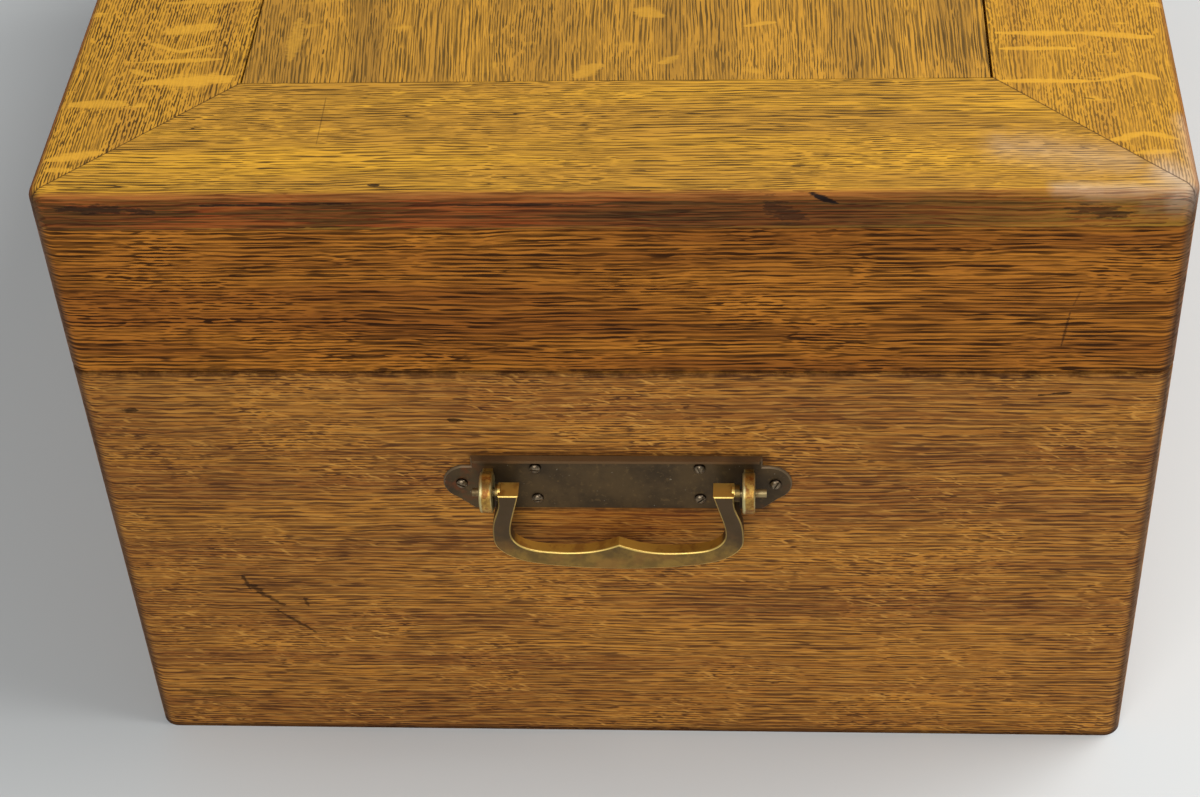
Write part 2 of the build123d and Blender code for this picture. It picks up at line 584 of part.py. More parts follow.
def bail_outline():
    """The bail seen from outside, both arms and the brace-shaped bar, measured from the pin's axis."""
    boss_out = BOSS_HALF_SPREAD
    boss_in = boss_out - BAIL_BOSS_WIDTH
    widest = boss_out + BAIL_FLARE
    inside = widest - BAIL_ARM_WIDTH
    top, foot = BAIL_TOP_ABOVE_PIN, -BAIL_DROP
    bar_top = foot + BAIL_BAR_HEIGHT
    cusp = bar_top + BAIL_CUSP_RISE
    outer_points = [(boss_out, 0.0), *[(widest - i, foot + up) for i, up in BAIL_OUTER_CURVE], (0.0, foot)]
    boss_root = boss_in + BAIL_BOSS_LEAN * top
    inner_points = [(0.0, cusp), *[(inside - i, bar_top + up) for i, up in BAIL_INNER_CURVE], (boss_root, 0.0)]
    halves = []
    for side in (-1, 1):
        outer = Spline(*[(side * x, z) for x, z in outer_points], tangents=[(0, -1), (-side, 0)])
        inner = Spline(*[(side * x, z) for x, z in inner_points],
                       tangents=[(side, BAIL_CUSP_SLOPE), (-side * BAIL_BOSS_LEAN, 1)])
        boss = Polyline((side * boss_root, 0), (side * boss_in, top), (side * boss_out, top),
                        (side * boss_out, 0))
        spine = Line((0, foot), (0, cusp))
        halves.append(make_face([outer, spine, inner, boss]))
    return halves[0] + halves[1]


def make_bail():
    """A bail hanging on its pins, deeper at the bosses than along the bar."""
    back = HANDLE_X - BAIL_BACK_OF_PIN
    front = back + BAIL_BOSS_DEPTH
    bar_back = front - BAIL_BAR_DEPTH
    bail = Pos(back, 0, HANDLE_Z) * extrude(Plane.YZ * bail_outline(), BAIL_BOSS_DEPTH)
    bail = fillet(bail.faces().sort_by(Axis.X)[-1].edges(), BAIL_EDGE_RADIUS)
    boss_foot, waist = HANDLE_Z - BAIL_BOSS_BELOW_PIN, HANDLE_Z - BAIL_WAIST_BELOW_PIN
    foot = HANDLE_Z - BAIL_DROP - OVERSHOOT
    hollow = Plane.XZ * make_face(Polyline((back, boss_foot), (bar_back, waist), (bar_back, foot),
                                           (back - OVERSHOOT, foot), (back - OVERSHOOT, boss_foot), close=True))
    bail = bail - extrude(hollow, CHEST_WIDTH / 2, both=True)
    for side, collar_width in zip((-1, 1), BAIL_COLLAR_WIDTHS):
        start = BOSS_HALF_SPREAD - BAIL_COLLAR_ROOT
        bail = bail + rod(BAIL_COLLAR_RADIUS, (HANDLE_X, side * start, HANDLE_Z),
                          (HANDLE_X, side * (BOSS_HALF_SPREAD + collar_width), HANDLE_Z))
    bore_radius = BAIL_PIN_RADIUS + BAIL_PIN_CLEARANCE
    bore_end = BOSS_HALF_SPREAD - BAIL_PIN_IN_BOSS - BAIL_SIDE_PLAY
    for side in (-1, 1):
        bail = bail - rod(bore_radius, (HANDLE_X, side * bore_end, HANDLE_Z),
                          (HANDLE_X, side * EAR_SPACING, HANDLE_Z))
    hung = Axis((HANDLE_X, 0, HANDLE_Z), (0, 1, 0))
    return (Pos(0, BAIL_CENTRE_Y, 0) * bail.solid()).rotate(hung, BAIL_HANG_ANGLE)


def make_handle(names, turn):
    """One end's handle: plate, two ears, pins, screws and bail, built for +X and turned about Z."""
    wood = HALF_LENGTH
    face = wood + PLATE_THICKNESS
    spin = Rot(0, 0, turn) * Pos(0, HANDLE_OFF_CENTRE, 0)

    sheet = Plane.YZ * plate_outline()
    plate = Pos(wood, PLATE_SIDE_SHIFT, HANDLE_Z) * extrude(sheet, PLATE_THICKNESS)
    plate = chamfer(plate.faces().sort_by(Axis.X)[-1].edges(), PLATE_BEVEL)
    lip_foot = HANDLE_Z + PLATE_ABOVE_PIN
    half_lip = PLATE_LENGTH / 2
    lip_points = [(wood, -half_lip), (wood + LIP_REACH, -half_lip + LIP_TAPER),
                  (wood + LIP_REACH, half_lip - LIP_TAPER), (wood, half_lip)]
    lip = prism(lip_points, lip_foot - PLATE_THICKNESS / 2, lip_foot + PLATE_THICKNESS / 2)
    plate = joined(plate, Pos(0, PLATE_SIDE_SHIFT, 0) * lip)

    ears, pins, rivets = {}, [], []
    behind = block(0, face, -HALF_WIDTH, HALF_WIDTH, 0, TOP_Z)
    for side, stub_length in zip((-1, 1), BAIL_PIN_STUBS):
        inner = EAR_SIDE_SHIFT + side * INNER_EAR
        outer = inner + side * EAR_THICKNESS
        y0, y1 = sorted((inner, outer))
        disc = rod(EAR_RADIUS, (HANDLE_X, y0, HANDLE_Z), (HANDLE_X, y1, HANDLE_Z))
        disc = chamfer(disc.edges().filter_by(GeomType.CIRCLE), EAR_EDGE_BEVEL)
        foot = block(face, HANDLE_X, y0 + EAR_EDGE_BEVEL, y1 - EAR_EDGE_BEVEL,
                     HANDLE_Z - EAR_FOOT_HALF_HEIGHT, HANDLE_Z + EAR_FOOT_HALF_HEIGHT)
        mid = (y0 + y1) / 2
        rivet = rod(EAR_RIVET_RADIUS, (wood, mid, HANDLE_Z), (face, mid, HANDLE_Z))
        rivets.append(rivet)
        stub = outer + side * stub_length
        tip = BAIL_CENTRE_Y + side * (BOSS_HALF_SPREAD - BAIL_PIN_IN_BOSS)
        pin = rod(BAIL_PIN_RADIUS, (HANDLE_X, tip, HANDLE_Z), (HANDLE_X, stub, HANDLE_Z))
        pins.append(pin)
        ears[side] = cut(joined(cut(disc + foot, behind), rivet), pin)

    seats = [(y, z) for y in (-HANDLE_SCREW_SPACING / 2, HANDLE_SCREW_SPACING / 2)
             for z in (HANDLE_Z + HANDLE_SCREW_UP, HANDLE_Z - HANDLE_SCREW_DOWN)]
    seats += [(side * LOBE_SCREW_SPACING / 2, HANDLE_Z - LOBE_SCREW_DOWN) for side in (-1, 1)]
    screws, holes = [], []
    for (y, z), slot_angle in zip(seats, HANDLE_SCREW_SLOT_ANGLES):
        screw, hole = round_screw(HANDLE_SCREW_HEAD_RADIUS, HANDLE_SCREW_HEAD_HEIGHT,
                                  HANDLE_SCREW_SHANK_RADIUS, HANDLE_SCREW_LENGTH,
                                  (face, y, z), (1, 0, 0), slot_angle)
        screws.append(screw)
        holes.append(hole)

    parts[f"{names}_handle_plate"] = spin * cut(plate, *rivets, *holes)
    front, rear = (-1, 1) if turn == 0 else (1, -1)
    parts[f"{names}_handle_front_ear"] = spin * ears[front]
    parts[f"{names}_handle_rear_ear"] = spin * ears[rear]
    parts[f"{names}_handle_pins"] = several([spin * pin for pin in pins])
    parts[f"{names}_handle_screws"] = several([spin * screw for screw in screws])
    parts[f"{names}_handle_bail"] = spin * make_bail()
    return [spin * hole for hole in holes]


def make_bottom():
    """The bottom board in its rebate, with screws up into the walls."""
    half_length = INSIDE_HALF_LENGTH + BOTTOM_REBATE
    half_width = INSIDE_HALF_WIDTH + BOTTOM_REBATE
    board = block(-half_length, half_length, -half_width, half_width, 0, BOTTOM_THICKNESS)
    edge = BOTTOM_REBATE / 2
    far_x, far_y = half_length - BOTTOM_SCREW_FROM_CORNER, half_width - BOTTOM_SCREW_FROM_CORNER
    count_x, count_y = (1 + round(2 * far / BOTTOM_SCREW_SPACING) for far in (far_x, far_y))
    seats = [(x, side * (half_width - edge)) for x in evenly(-far_x, far_x, count_x) for side in (-1, 1)]
    seats += [(side * (half_length - edge), y) for y in evenly(-far_y, far_y, count_y) for side in (-1, 1)]
    screws, holes = [], []
    for number, (x, y) in enumerate(seats):
        screw, hole = flat_screw(BOTTOM_SCREW, (x, y, 0), (0, 0, 1), 29 * number)
        screws.append(screw)
        holes.append(hole)
    parts["bottom_screws"] = several(screws)
    parts["case_bottom"] = cut(board, *holes)
    return [board, *holes]


def make_linings():
    """Cloth on the case's floor and walls and inside the lid."""
    floor_top = BOTTOM_THICKNESS + LINING_THICKNESS
    parts["case_floor_lining"] = block(-INSIDE_HALF_LENGTH, INSIDE_HALF_LENGTH, -INSIDE_HALF_WIDTH,
                                       INSIDE_HALF_WIDTH, BOTTOM_THICKNESS, floor_top)
    half_window = LOCK_PLATE_LENGTH / 2 + LINING_FROM_LOCK
    inner_y = FRONT_INNER_Y + LINING_THICKNESS
    window = block(-half_window, half_window, FRONT_INNER_Y - OVERSHOOT, inner_y + OVERSHOOT,
                   RIM_Z - LOCK_PLATE_HEIGHT - LINING_FROM_LOCK, RIM_Z)
    parts["case_side_lining"] = cut(inner_ring(floor_top, RIM_Z - LINING_BELOW_RIM, LINING_THICKNESS), window)
    board_z = FRAME_Z - LID_LINING_BOARD
    parts["lid_lining_board"] = block(-INSIDE_HALF_LENGTH, INSIDE_HALF_LENGTH, -INSIDE_HALF_WIDTH,
                                      INSIDE_HALF_WIDTH, board_z, FRAME_Z)
    parts["lid_side_lining"] = inner_ring(LID_Z + LINING_BELOW_RIM, board_z, LINING_THICKNESS).solid()


def make_cleats():
    """The two ledges that carry the tray."""
    for name, side in (("left", -1), ("right", 1)):
        x0, x1 = sorted((side * LINING_HALF_LENGTH, side * (LINING_HALF_LENGTH - CLEAT_SIZE)))
        parts[f"{name}_tray_cleat"] = block(x0, x1, -LINING_HALF_WIDTH, LINING_HALF_WIDTH,
                                            CLEAT_TOP_Z - CLEAT_SIZE, CLEAT_TOP_Z)


def make_tray():
    """The lift-out tray: four mitred sides, a bottom, a lining and its dividers."""
    half_length, half_width = TRAY_HALF_LENGTH, TRAY_HALF_WIDTH
    inner_length, inner_width = half_length - TRAY_WALL, half_width - TRAY_WALL
    board_length, board_width = inner_length + TRAY_BOTTOM_REBATE, inner_width + TRAY_BOTTOM_REBATE
    floor_z = TRAY_Z + TRAY_BOTTOM_THICKNESS
    board = block(-board_length, board_length, -board_width, board_width, TRAY_Z, floor_z)
    scoop_z = TRAY_TOP_Z + SCOOP_RADIUS - SCOOP_DEPTH
    scoop = rod(SCOOP_RADIUS, (-HALF_LENGTH, 0, scoop_z), (HALF_LENGTH, 0, scoop_z))
    for side, name in (("front", "tray_front"), ("back", "tray_back"),
                       ("left", "tray_left_end"), ("right", "tray_right_end")):
        wall = mitred_prism(side, half_length, half_width, TRAY_WALL, TRAY_Z, TRAY_TOP_Z) - board
        parts[name] = cut(wall, scoop) if side in ("left", "right") else wall.solid()
    parts["tray_bottom"] = board
    lining_top = floor_z + TRAY_LINING
    parts["tray_lining"] = block(-inner_length, inner_length, -inner_width, inner_width, floor_z, lining_top)
    divider_top = lining_top + DIVIDER_HEIGHT
    half = DIVIDER_THICKNESS / 2
    cross_x = CROSS_DIVIDER_OFFSET
    parts["tray_cross_divider"] = block(cross_x - half, cross_x + half, -inner_width, inner_width,
                                        lining_top, divider_top)
    runs = {
        "tray_long_dividers": (-inner_length, cross_x - half, LONG_DIVIDER_COUNT),
        "tray_short_dividers": (cross_x + half, inner_length, SHORT_DIVIDER_COUNT),
    }
    for name, (x0, x1, count) in runs.items():
        places = evenly(-inner_width, inner_width, count + 2)[1:-1]
        parts[name] = several([block(x0, x1, y - half, y + half, lining_top, divider_top) for y in places])


def make_lid_top():
    """The mitred frame on top of the lid and the panel in its grooves."""
    opening_length = HALF_LENGTH - FRAME_MEMBER_WIDTH
    opening_width = HALF_WIDTH - FRAME_MEMBER_WIDTH
    panel_z = TOP_Z - PANEL_THICKNESS
    tongue_z = panel_z + TONGUE_THICKNESS
    groove = TONGUE_LENGTH + GROOVE_SPARE
    groove_room = block(-opening_length - groove, opening_length + groove, -opening_width - groove,
                        opening_width + groove, panel_z, tongue_z)
    outer = rounded_block(FRAME_Z, TOP_Z, top_radius=TOP_EDGE_RADIUS)
    for side in ("front", "back", "left", "right"):
        member = mitred_prism(side, HALF_LENGTH, HALF_WIDTH, FRAME_MEMBER_WIDTH, FRAME_Z, TOP_Z)
        parts[f"top_frame_{side}"] = cut(member & outer, groove_room)
    tongue = block(-opening_length - TONGUE_LENGTH, opening_length + TONGUE_LENGTH,
                   -opening_width - TONGUE_LENGTH, opening_width + TONGUE_LENGTH, panel_z, tongue_z)
    field = block(-opening_length + END_SHRINK_GAP, opening_length - END_SHRINK_GAP,
                  -opening_width + FRONT_SHRINK_GAP, opening_width - BACK_SHRINK_GAP, panel_z, TOP_Z)
    parts["top_panel"] = joined(tongue, field)


def make_walls(case_cuts, lid_cuts):
    """The case's and the lid's mitred boards, with every pocket and hole that the fittings need."""
    case_block = rounded_block(0, RIM_Z, top_radius=RIM_EDGE_RADIUS)
    lid_block = rounded_block(LID_Z, FRAME_Z, bottom_radius=RIM_EDGE_RADIUS)
    names = {"front": "case_front", "back": "case_back", "left": "case_left_end", "right": "case_right_end"}
    for side, name in names.items():
        board = mitred_prism(side, HALF_LENGTH, HALF_WIDTH, WALL, 0, RIM_Z) & case_block
        parts[name] = cut(board, *case_cuts["all"], *case_cuts.get(side, []))
        band = mitred_prism(side, HALF_LENGTH, HALF_WIDTH, WALL, LID_Z, FRAME_Z) & lid_block
        parts[f"lid_{side}_band"] = cut(band, *lid_cuts.get(side, []))


hinge_screws = {"case": [], "lid": []}
hinge_pins = []

case_cuts = {"all": make_bottom()}
lid_cuts = {"back": []}
case_cuts["front"] = make_lock() + make_escutcheon()
lid_cuts["front"] = make_link_plate()
make_key()
case_cuts["back"] = []
hinge_x = HALF_LENGTH - HINGE_FROM_END
for side_name, centre_x in (("left", -hinge_x), ("right", hinge_x)):
    pockets_for = make_hinge(side_name, centre_x)
    case_cuts["back"] += pockets_for["case"]
    lid_cuts["back"] += pockets_for["lid"]
parts["hinge_pins"] = several(hinge_pins)
parts["hinge_case_screws"] = several(hinge_screws["case"])
parts["hinge_lid_screws"] = several(hinge_screws["lid"])
case_cuts["right"] = make_handle("right", 0)
case_cuts["left"] = make_handle("left", 180)
make_linings()
make_cleats()
make_tray()
make_lid_top()
make_walls(case_cuts, lid_cuts)

os.makedirs("parts", exist_ok=True)
for node, shape in parts.items():
    export_step(shape, f"parts/{node}.step")
print(f"{len(parts)} nodes, {CHEST_LENGTH} x {CHEST_WIDTH} x {TOP_Z:.1f} mm")
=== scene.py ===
"""Looks for the silverware chest: oak, aged brass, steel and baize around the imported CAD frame."""

import math

import bpy
import numpy as np
from mathutils import Matrix, Vector


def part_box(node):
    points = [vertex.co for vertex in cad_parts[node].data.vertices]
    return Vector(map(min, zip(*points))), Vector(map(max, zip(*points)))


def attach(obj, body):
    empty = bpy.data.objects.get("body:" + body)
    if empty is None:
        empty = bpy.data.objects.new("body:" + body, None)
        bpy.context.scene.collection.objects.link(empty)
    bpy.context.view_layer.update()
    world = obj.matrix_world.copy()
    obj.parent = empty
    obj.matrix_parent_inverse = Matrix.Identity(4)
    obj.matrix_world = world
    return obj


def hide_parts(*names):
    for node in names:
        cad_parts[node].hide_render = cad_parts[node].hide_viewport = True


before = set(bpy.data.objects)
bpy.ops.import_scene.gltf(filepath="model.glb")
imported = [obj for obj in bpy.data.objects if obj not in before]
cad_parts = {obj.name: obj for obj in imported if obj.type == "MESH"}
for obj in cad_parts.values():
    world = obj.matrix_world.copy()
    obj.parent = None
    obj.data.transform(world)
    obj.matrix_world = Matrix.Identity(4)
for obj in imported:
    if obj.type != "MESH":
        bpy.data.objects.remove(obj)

bl_info = {
    "name": "Silverware chest",
    "version": (1, 0, 0),
    "blender": (4, 5, 0),
    "location": "View3D > Sidebar > Chest",
    "description": "Paints and dresses an oak silverware chest",
    "category": "Object",
}


def corners(name):
    """A CAD node's lowest and highest corner in metres, to a hundredth of a millimetre."""
    return [[round(value, 5) for value in corner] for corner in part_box(name)]


# The chest's main planes, the thickness of its cloth and the height of the handles' pins
HALF_LENGTH, _, RIM_Z = corners("case_right_end")[1]
_, HALF_WIDTH, GLUE_Z = corners("lid_back_band")[1]
TOP_Z = corners("top_frame_right")[1][2]
(_, _, FLOOR_Z), (INSIDE_LENGTH, INSIDE_WIDTH, CLOTH_Z) = corners("case_floor_lining")
CLOTH = round(CLOTH_Z - FLOOR_Z, 5)
PIN_Z = round(sum(corner[2] for corner in corners("right_handle_pins")) / 2, 5)
# How far a bail is off the middle, its bosses' outer faces, and the ears' mean distance from the middle
BAIL_SHIFT = 0.00085
BOSS_OUTSIDE = 0.0419
EAR_MIDDLE = 0.0466
# The cut round the lock is this much bigger than the lock, and a cloth this much thinner than its node
LOCK_CLEARANCE = 0.0015
CLOTH_THINNER = 0.00015
# The camera: place in metres, then turn, tilt and roll in degrees, and lens in millimetres
CAMERA_PLACE = (0.8975, 0.055, 0.7589)
CAMERA_ANGLES = (-5.564, 42.974, -3.727)
CAMERA_LENS = 73.37
FLOOR_HALF = 4.0
ROOM_COLOR = (0.92, 0.96, 1.0, 1.0)
ROOM_STRENGTH = 0.3
# Lamps: name, place, size, watts, and the point that they look at
LAMPS = [
    ("Window", (-0.1, 1.25, 1.9), (1.6, 1.2), 46.0, (0.0, 0.0, 0.15)),
    ("Fill", (1.9, -0.35, 1.5), (1.4, 1.4), 23.0, (0.25, 0.0, 0.15)),
]


def hex_color(text):
    """A linear colour from an sRGB hex text."""
    parts = [int(text[i:i + 2], 16) / 255 for i in (0, 2, 4)]
    return (*[c / 12.92 if c <= 0.04045 else ((c + 0.055) / 1.055) ** 2.4 for c in parts], 1.0)


class Tree:
    """Short calls that add nodes to one node tree and link them."""

    def __init__(self, tree):
        self.tree = tree
        self.tree.nodes.clear()

    def add(self, kind, **settings):
        node = self.tree.nodes.new(kind)
        for key, value in settings.items():
            setattr(node, key, value)
        return node

    def put(self, socket, value):
        """Link an output to a socket, or set a value on it, where a text is a colour."""
        if isinstance(value, bpy.types.NodeSocket):
            self.tree.links.new(value, socket)
        else:
            socket.default_value = hex_color(value) if isinstance(value, str) else value

    def math(self, operation, a, b=0.0, c=0.0, clamp=False):
        node = self.add("ShaderNodeMath", operation=operation, use_clamp=clamp)
        for socket, value in zip(node.inputs, (a, b, c)):
            self.put(socket, value)
        return node.outputs[0]

    def vec(self, operation, a, b=(0, 0, 0)):
        node = self.add("ShaderNodeVectorMath", operation=operation)
        self.put(node.inputs[0], a)
        self.put(node.inputs[1], b)
        return node.outputs["Value" if operation in ("LENGTH", "DOT_PRODUCT") else "Vector"]

    def scale(self, a, factor):
        node = self.add("ShaderNodeVectorMath", operation="SCALE")
        self.put(node.inputs[0], a)
        self.put(node.inputs["Scale"], factor)
        return node.outputs[0]

    def join(self, x=0.0, y=0.0, z=0.0):
        node = self.add("ShaderNodeCombineXYZ")
        for socket, value in zip(node.inputs, (x, y, z)):
            self.put(socket, value)
        return node.outputs[0]

    def split(self, vector):
        node = self.add("ShaderNodeSeparateXYZ")
        self.put(node.inputs[0], vector)
        return node.outputs[0], node.outputs[1], node.outputs[2]

    def noise(self, vector, scale=1.0, detail=2.0, roughness=0.5, distortion=0.0):
        node = self.add("ShaderNodeTexNoise", noise_dimensions="3D")
        self.put(node.inputs["Vector"], vector)
        self.put(node.inputs["Scale"], scale)
        self.put(node.inputs["Detail"], detail)
        self.put(node.inputs["Roughness"], roughness)
        self.put(node.inputs["Distortion"], distortion)
        return node.outputs["Fac"]

    def ramp(self, value, low, high, to_low=0.0, to_high=1.0):
        node = self.add("ShaderNodeMapRange", interpolation_type="SMOOTHSTEP")
        for name, number in (("Value", value), ("From Min", low), ("From Max", high),
                             ("To Min", to_low), ("To Max", to_high)):
            self.put(node.inputs[name], number)
        return node.outputs[0]

    def mix(self, factor, a, b):
        node = self.add("ShaderNodeMix", data_type="RGBA")
        self.put(node.inputs[0], factor)
        self.put(node.inputs[6], a)
        self.put(node.inputs[7], b)
        return node.outputs[2]

    def blend(self, factor, a, b):
        node = self.add("ShaderNodeMix", data_type="FLOAT")
        self.put(node.inputs[0], factor)
        self.put(node.inputs[2], a)
        self.put(node.inputs[3], b)
        return node.outputs[0]

    def bump(self, height, strength, distance):
        node = self.add("ShaderNodeBump")
        self.put(node.inputs["Height"], height)
        self.put(node.inputs["Strength"], strength)
        self.put(node.inputs["Distance"], distance)
        return node.outputs[0]

    def group(self, tree, **values):
        node = self.add("ShaderNodeGroup", node_tree=tree)
        for key, value in values.items():
            self.put(node.inputs[key.replace("_", " ").capitalize()], value)
        return node.outputs

    def position(self):
        return self.add("ShaderNodeTexCoord").outputs["Object"]

    def surface(self, color, roughness, normal=None, metallic=0.0, **sockets):
        shader = self.add("ShaderNodeBsdfPrincipled")
        self.put(shader.inputs["Base Color"], color)
        self.put(shader.inputs["Roughness"], roughness)
        self.put(shader.inputs["Metallic"], metallic)
        if normal is not None:
            self.put(shader.inputs["Normal"], normal)
        for key, value in sockets.items():
            self.put(shader.inputs[key.replace("_", " ")], value)
        self.tree.links.new(shader.outputs[0], self.add("ShaderNodeOutputMaterial").inputs[0])


SOCKETS = {"float": "NodeSocketFloat", "vector": "NodeSocketVector", "color": "NodeSocketColor"}


def make_group(name, inputs, outputs, build):
    """A node group: inputs are (name, kind, default) and outputs (name, kind)."""
    if name in bpy.data.node_groups:
        return bpy.data.node_groups[name]
    group = bpy.data.node_groups.new(name, "ShaderNodeTree")
    for label, kind, default in inputs:
        socket = group.interface.new_socket(label, in_out="INPUT", socket_type=SOCKETS[kind])
        if default is not None:
            socket.default_value = default
    for label, kind in outputs:
        group.interface.new_socket(label, in_out="OUTPUT", socket_type=SOCKETS[kind])
    tree = Tree(group)
    entry = tree.add("NodeGroupInput")
    leave = tree.add("NodeGroupOutput")
    results = build(tree, {socket.name: socket for socket in entry.outputs if socket.name})
    for label, value in results.items():
        tree.put(leave.inputs[label], value)
    return group


def dash_group():
    """Tapering dashes along the grain: 1 on a dash. Pitch is the rows' mean spacing in metres."""
    inputs = [("Along", "float", 0.0), ("Ring", "float", 0.0), ("Seed", "float", 0.0),
              ("Pitch", "float", 0.0009), ("Length", "float", 0.016), ("Amount", "float", 0.5),
              ("Blur", "float", 0.07)]

    def build(t, s):
        row = t.math("DIVIDE", s["Ring"], s["Pitch"])
        place = t.join(t.math("DIVIDE", s["Along"], s["Length"]), t.math("MULTIPLY", row, 1.5), s["Seed"])
        value = t.noise(place, 1, 1.5, 0.5)
        wave = t.math("COSINE", t.math("MULTIPLY", row, 2 * math.pi))
        value = t.math("MULTIPLY_ADD", wave, 0.16, value)
        start = t.math("MULTIPLY_ADD", s["Amount"], -0.25, 0.66)
        return {"Mask": t.ramp(value, start, t.math("ADD", start, s["Blur"]))}

    return make_group("Dashes", inputs, [("Mask", "float")], build)


def oak_group():
    """Quarter-sawn oak. Vector is (along the grain, across the face, into the board) in metres."""
    inputs = [("Vector", "vector", None), ("Seed", "float", 0.0),
              ("Ground", "color", (0.5, 0.2, 0.03, 1)), ("Deep", "color", (0.3, 0.1, 0.02, 1)),
              ("Pore", "color", (0.05, 0.02, 0.008, 1)), ("Ray", "color", (0.8, 0.4, 0.07, 1)),
              ("Pitch", "float", 0.0009), ("Pore length", "float", 0.016), ("Pore amount", "float", 0.5),
              ("Short", "float", 0.5), ("Blur", "float", 0.07), ("Ray amount", "float", 0.4),
              ("Ray along", "float", 0.01), ("Ray across", "float", 0.03), ("Ray slope", "float", 0.0),
              ("Fleck", "float", 0.0), ("Lean", "float", 0.45), ("Contrast", "float", 0.86),
              ("Pale", "float", 0.0)]

    def build(t, s):
        vector = t.vec("ADD", s["Vector"], t.scale(t.join(7.31, 3.17, 5.71), s["Seed"]))
        along, across, deep = t.split(vector)
        ring = t.math("MULTIPLY_ADD", deep, s["Lean"], across)

        def field(a, b, detail=2.0, roughness=0.5, shift=0.0):
            place = t.join(t.math("MULTIPLY", along, a), t.math("MULTIPLY", ring, b), shift)
            return t.noise(place, 1, detail, roughness)

        def dashes(share, pitch, shift, amount):
            row_pitch = t.math("MULTIPLY", s["Pitch"], pitch)
            length = t.math("MULTIPLY", s["Pore length"], share)
            return t.group(dash_group(), along=along, ring=ring, seed=shift, pitch=row_pitch, length=length,
                           amount=amount, blur=s["Blur"])[0]

        ring = t.math("MULTIPLY_ADD", t.math("SUBTRACT", field(9, 30), 0.5), 0.0060, ring)
        ring = t.math("MULTIPLY_ADD", t.math("SUBTRACT", field(60, 140, 2, 0.6, 3.3), 0.5), 0.0009, ring)
        crowd = t.math("SUBTRACT", t.noise(t.join(0.0, t.math("MULTIPLY", ring, 170), 5.1), 1, 2), 0.5)
        ring = t.math("MULTIPLY_ADD", crowd, 0.0022, ring)
        patch = field(18, 34, 3, 0.6, 7.9)
        band = field(2.5, 70, 2, 0.5, 1.2)
        amount = t.math("MULTIPLY_ADD", t.math("SUBTRACT", patch, 0.5), -0.5, s["Pore amount"])
        amount = t.math("MULTIPLY_ADD", t.math("SUBTRACT", band, 0.5), 0.6, amount)
        long = t.math("MAXIMUM", dashes(1.0, 1.0, 3.1, amount),
                      t.math("MULTIPLY", dashes(1.7, 0.62, 8.4, t.math("ADD", amount, -0.15)), 0.8))
        brief = dashes(0.42, 0.72, 5.7, t.math("ADD", amount, 0.1))
        crossed = t.math("ADD", field(22, 30, 3, 0.6, 2.2), t.math("SUBTRACT", s["Short"], 0.5))
        crossed = t.ramp(crossed, 0.48, 0.58)
        lines = t.blend(crossed, long, brief)
        slope = t.math("MULTIPLY_ADD", along, s["Ray slope"], across)
        place = t.join(t.math("DIVIDE", along, s["Ray along"]), t.math("DIVIDE", slope, s["Ray across"]),
                       t.math("DIVIDE", deep, s["Ray across"]))
        ray = t.noise(place, 1, 2.0, 0.5, 0.25)
        ray_from = t.math("SUBTRACT", 0.72, t.math("MULTIPLY", s["Ray amount"], 0.25))
        ray = t.math("MULTIPLY", t.ramp(ray, ray_from, t.math("ADD", ray_from, 0.14)),
                     t.ramp(crossed, 0.0, 1.0, 0.25, 1.0))
        ray = t.math("MAXIMUM", ray, s["Fleck"])
        clear = t.math("MULTIPLY_ADD", ray, -0.93, 1.0)
        dark = t.math("MULTIPLY", lines, clear)
        broad = field(5, 60, 3, 0.6, 4.4)
        color = t.mix(t.ramp(broad, 0.36, 0.66), s["Ground"], s["Deep"])
        pale = dashes(1.1, 2.1, 9.9, t.math("ADD", s["Pale"], 0.2))
        color = t.mix(t.math("MULTIPLY", pale, s["Pale"]), color, s["Ray"])
        fibre = field(190, 2600, 2, 0.6, 6.6)
        color = t.mix(t.math("MULTIPLY", t.ramp(fibre, 0.42, 0.75), 0.24), color, s["Pore"])
        middle = field(55, 1100, 2, 0.6, 3.7)
        color = t.mix(t.math("MULTIPLY", t.ramp(middle, 0.42, 0.66), 0.45), color, s["Deep"])
        fleck_grain = field(900, 500, 2, 0.5, 8.8)
        lit = t.math("MULTIPLY", ray, t.ramp(fleck_grain, 0.2, 0.7, 0.5, 0.8))
        color = t.mix(lit, color, s["Ray"])
        uneven = t.ramp(field(45, 240, 2, 0.5, 6.1), 0.32, 0.6, 0.62, 1.0)
        dark = t.math("MULTIPLY", dark, uneven)
        color = t.mix(t.math("MULTIPLY", dark, s["Contrast"]), color, s["Pore"])
        height = t.math("SUBTRACT", t.math("MULTIPLY", fibre, 0.2), dark)
        return {"Color": color, "Pores": dark, "Rays": ray, "Height": height}

    return make_group("Oak", inputs, [("Color", "color"), ("Pores", "float"), ("Rays", "float"),
                                      ("Height", "float")], build)


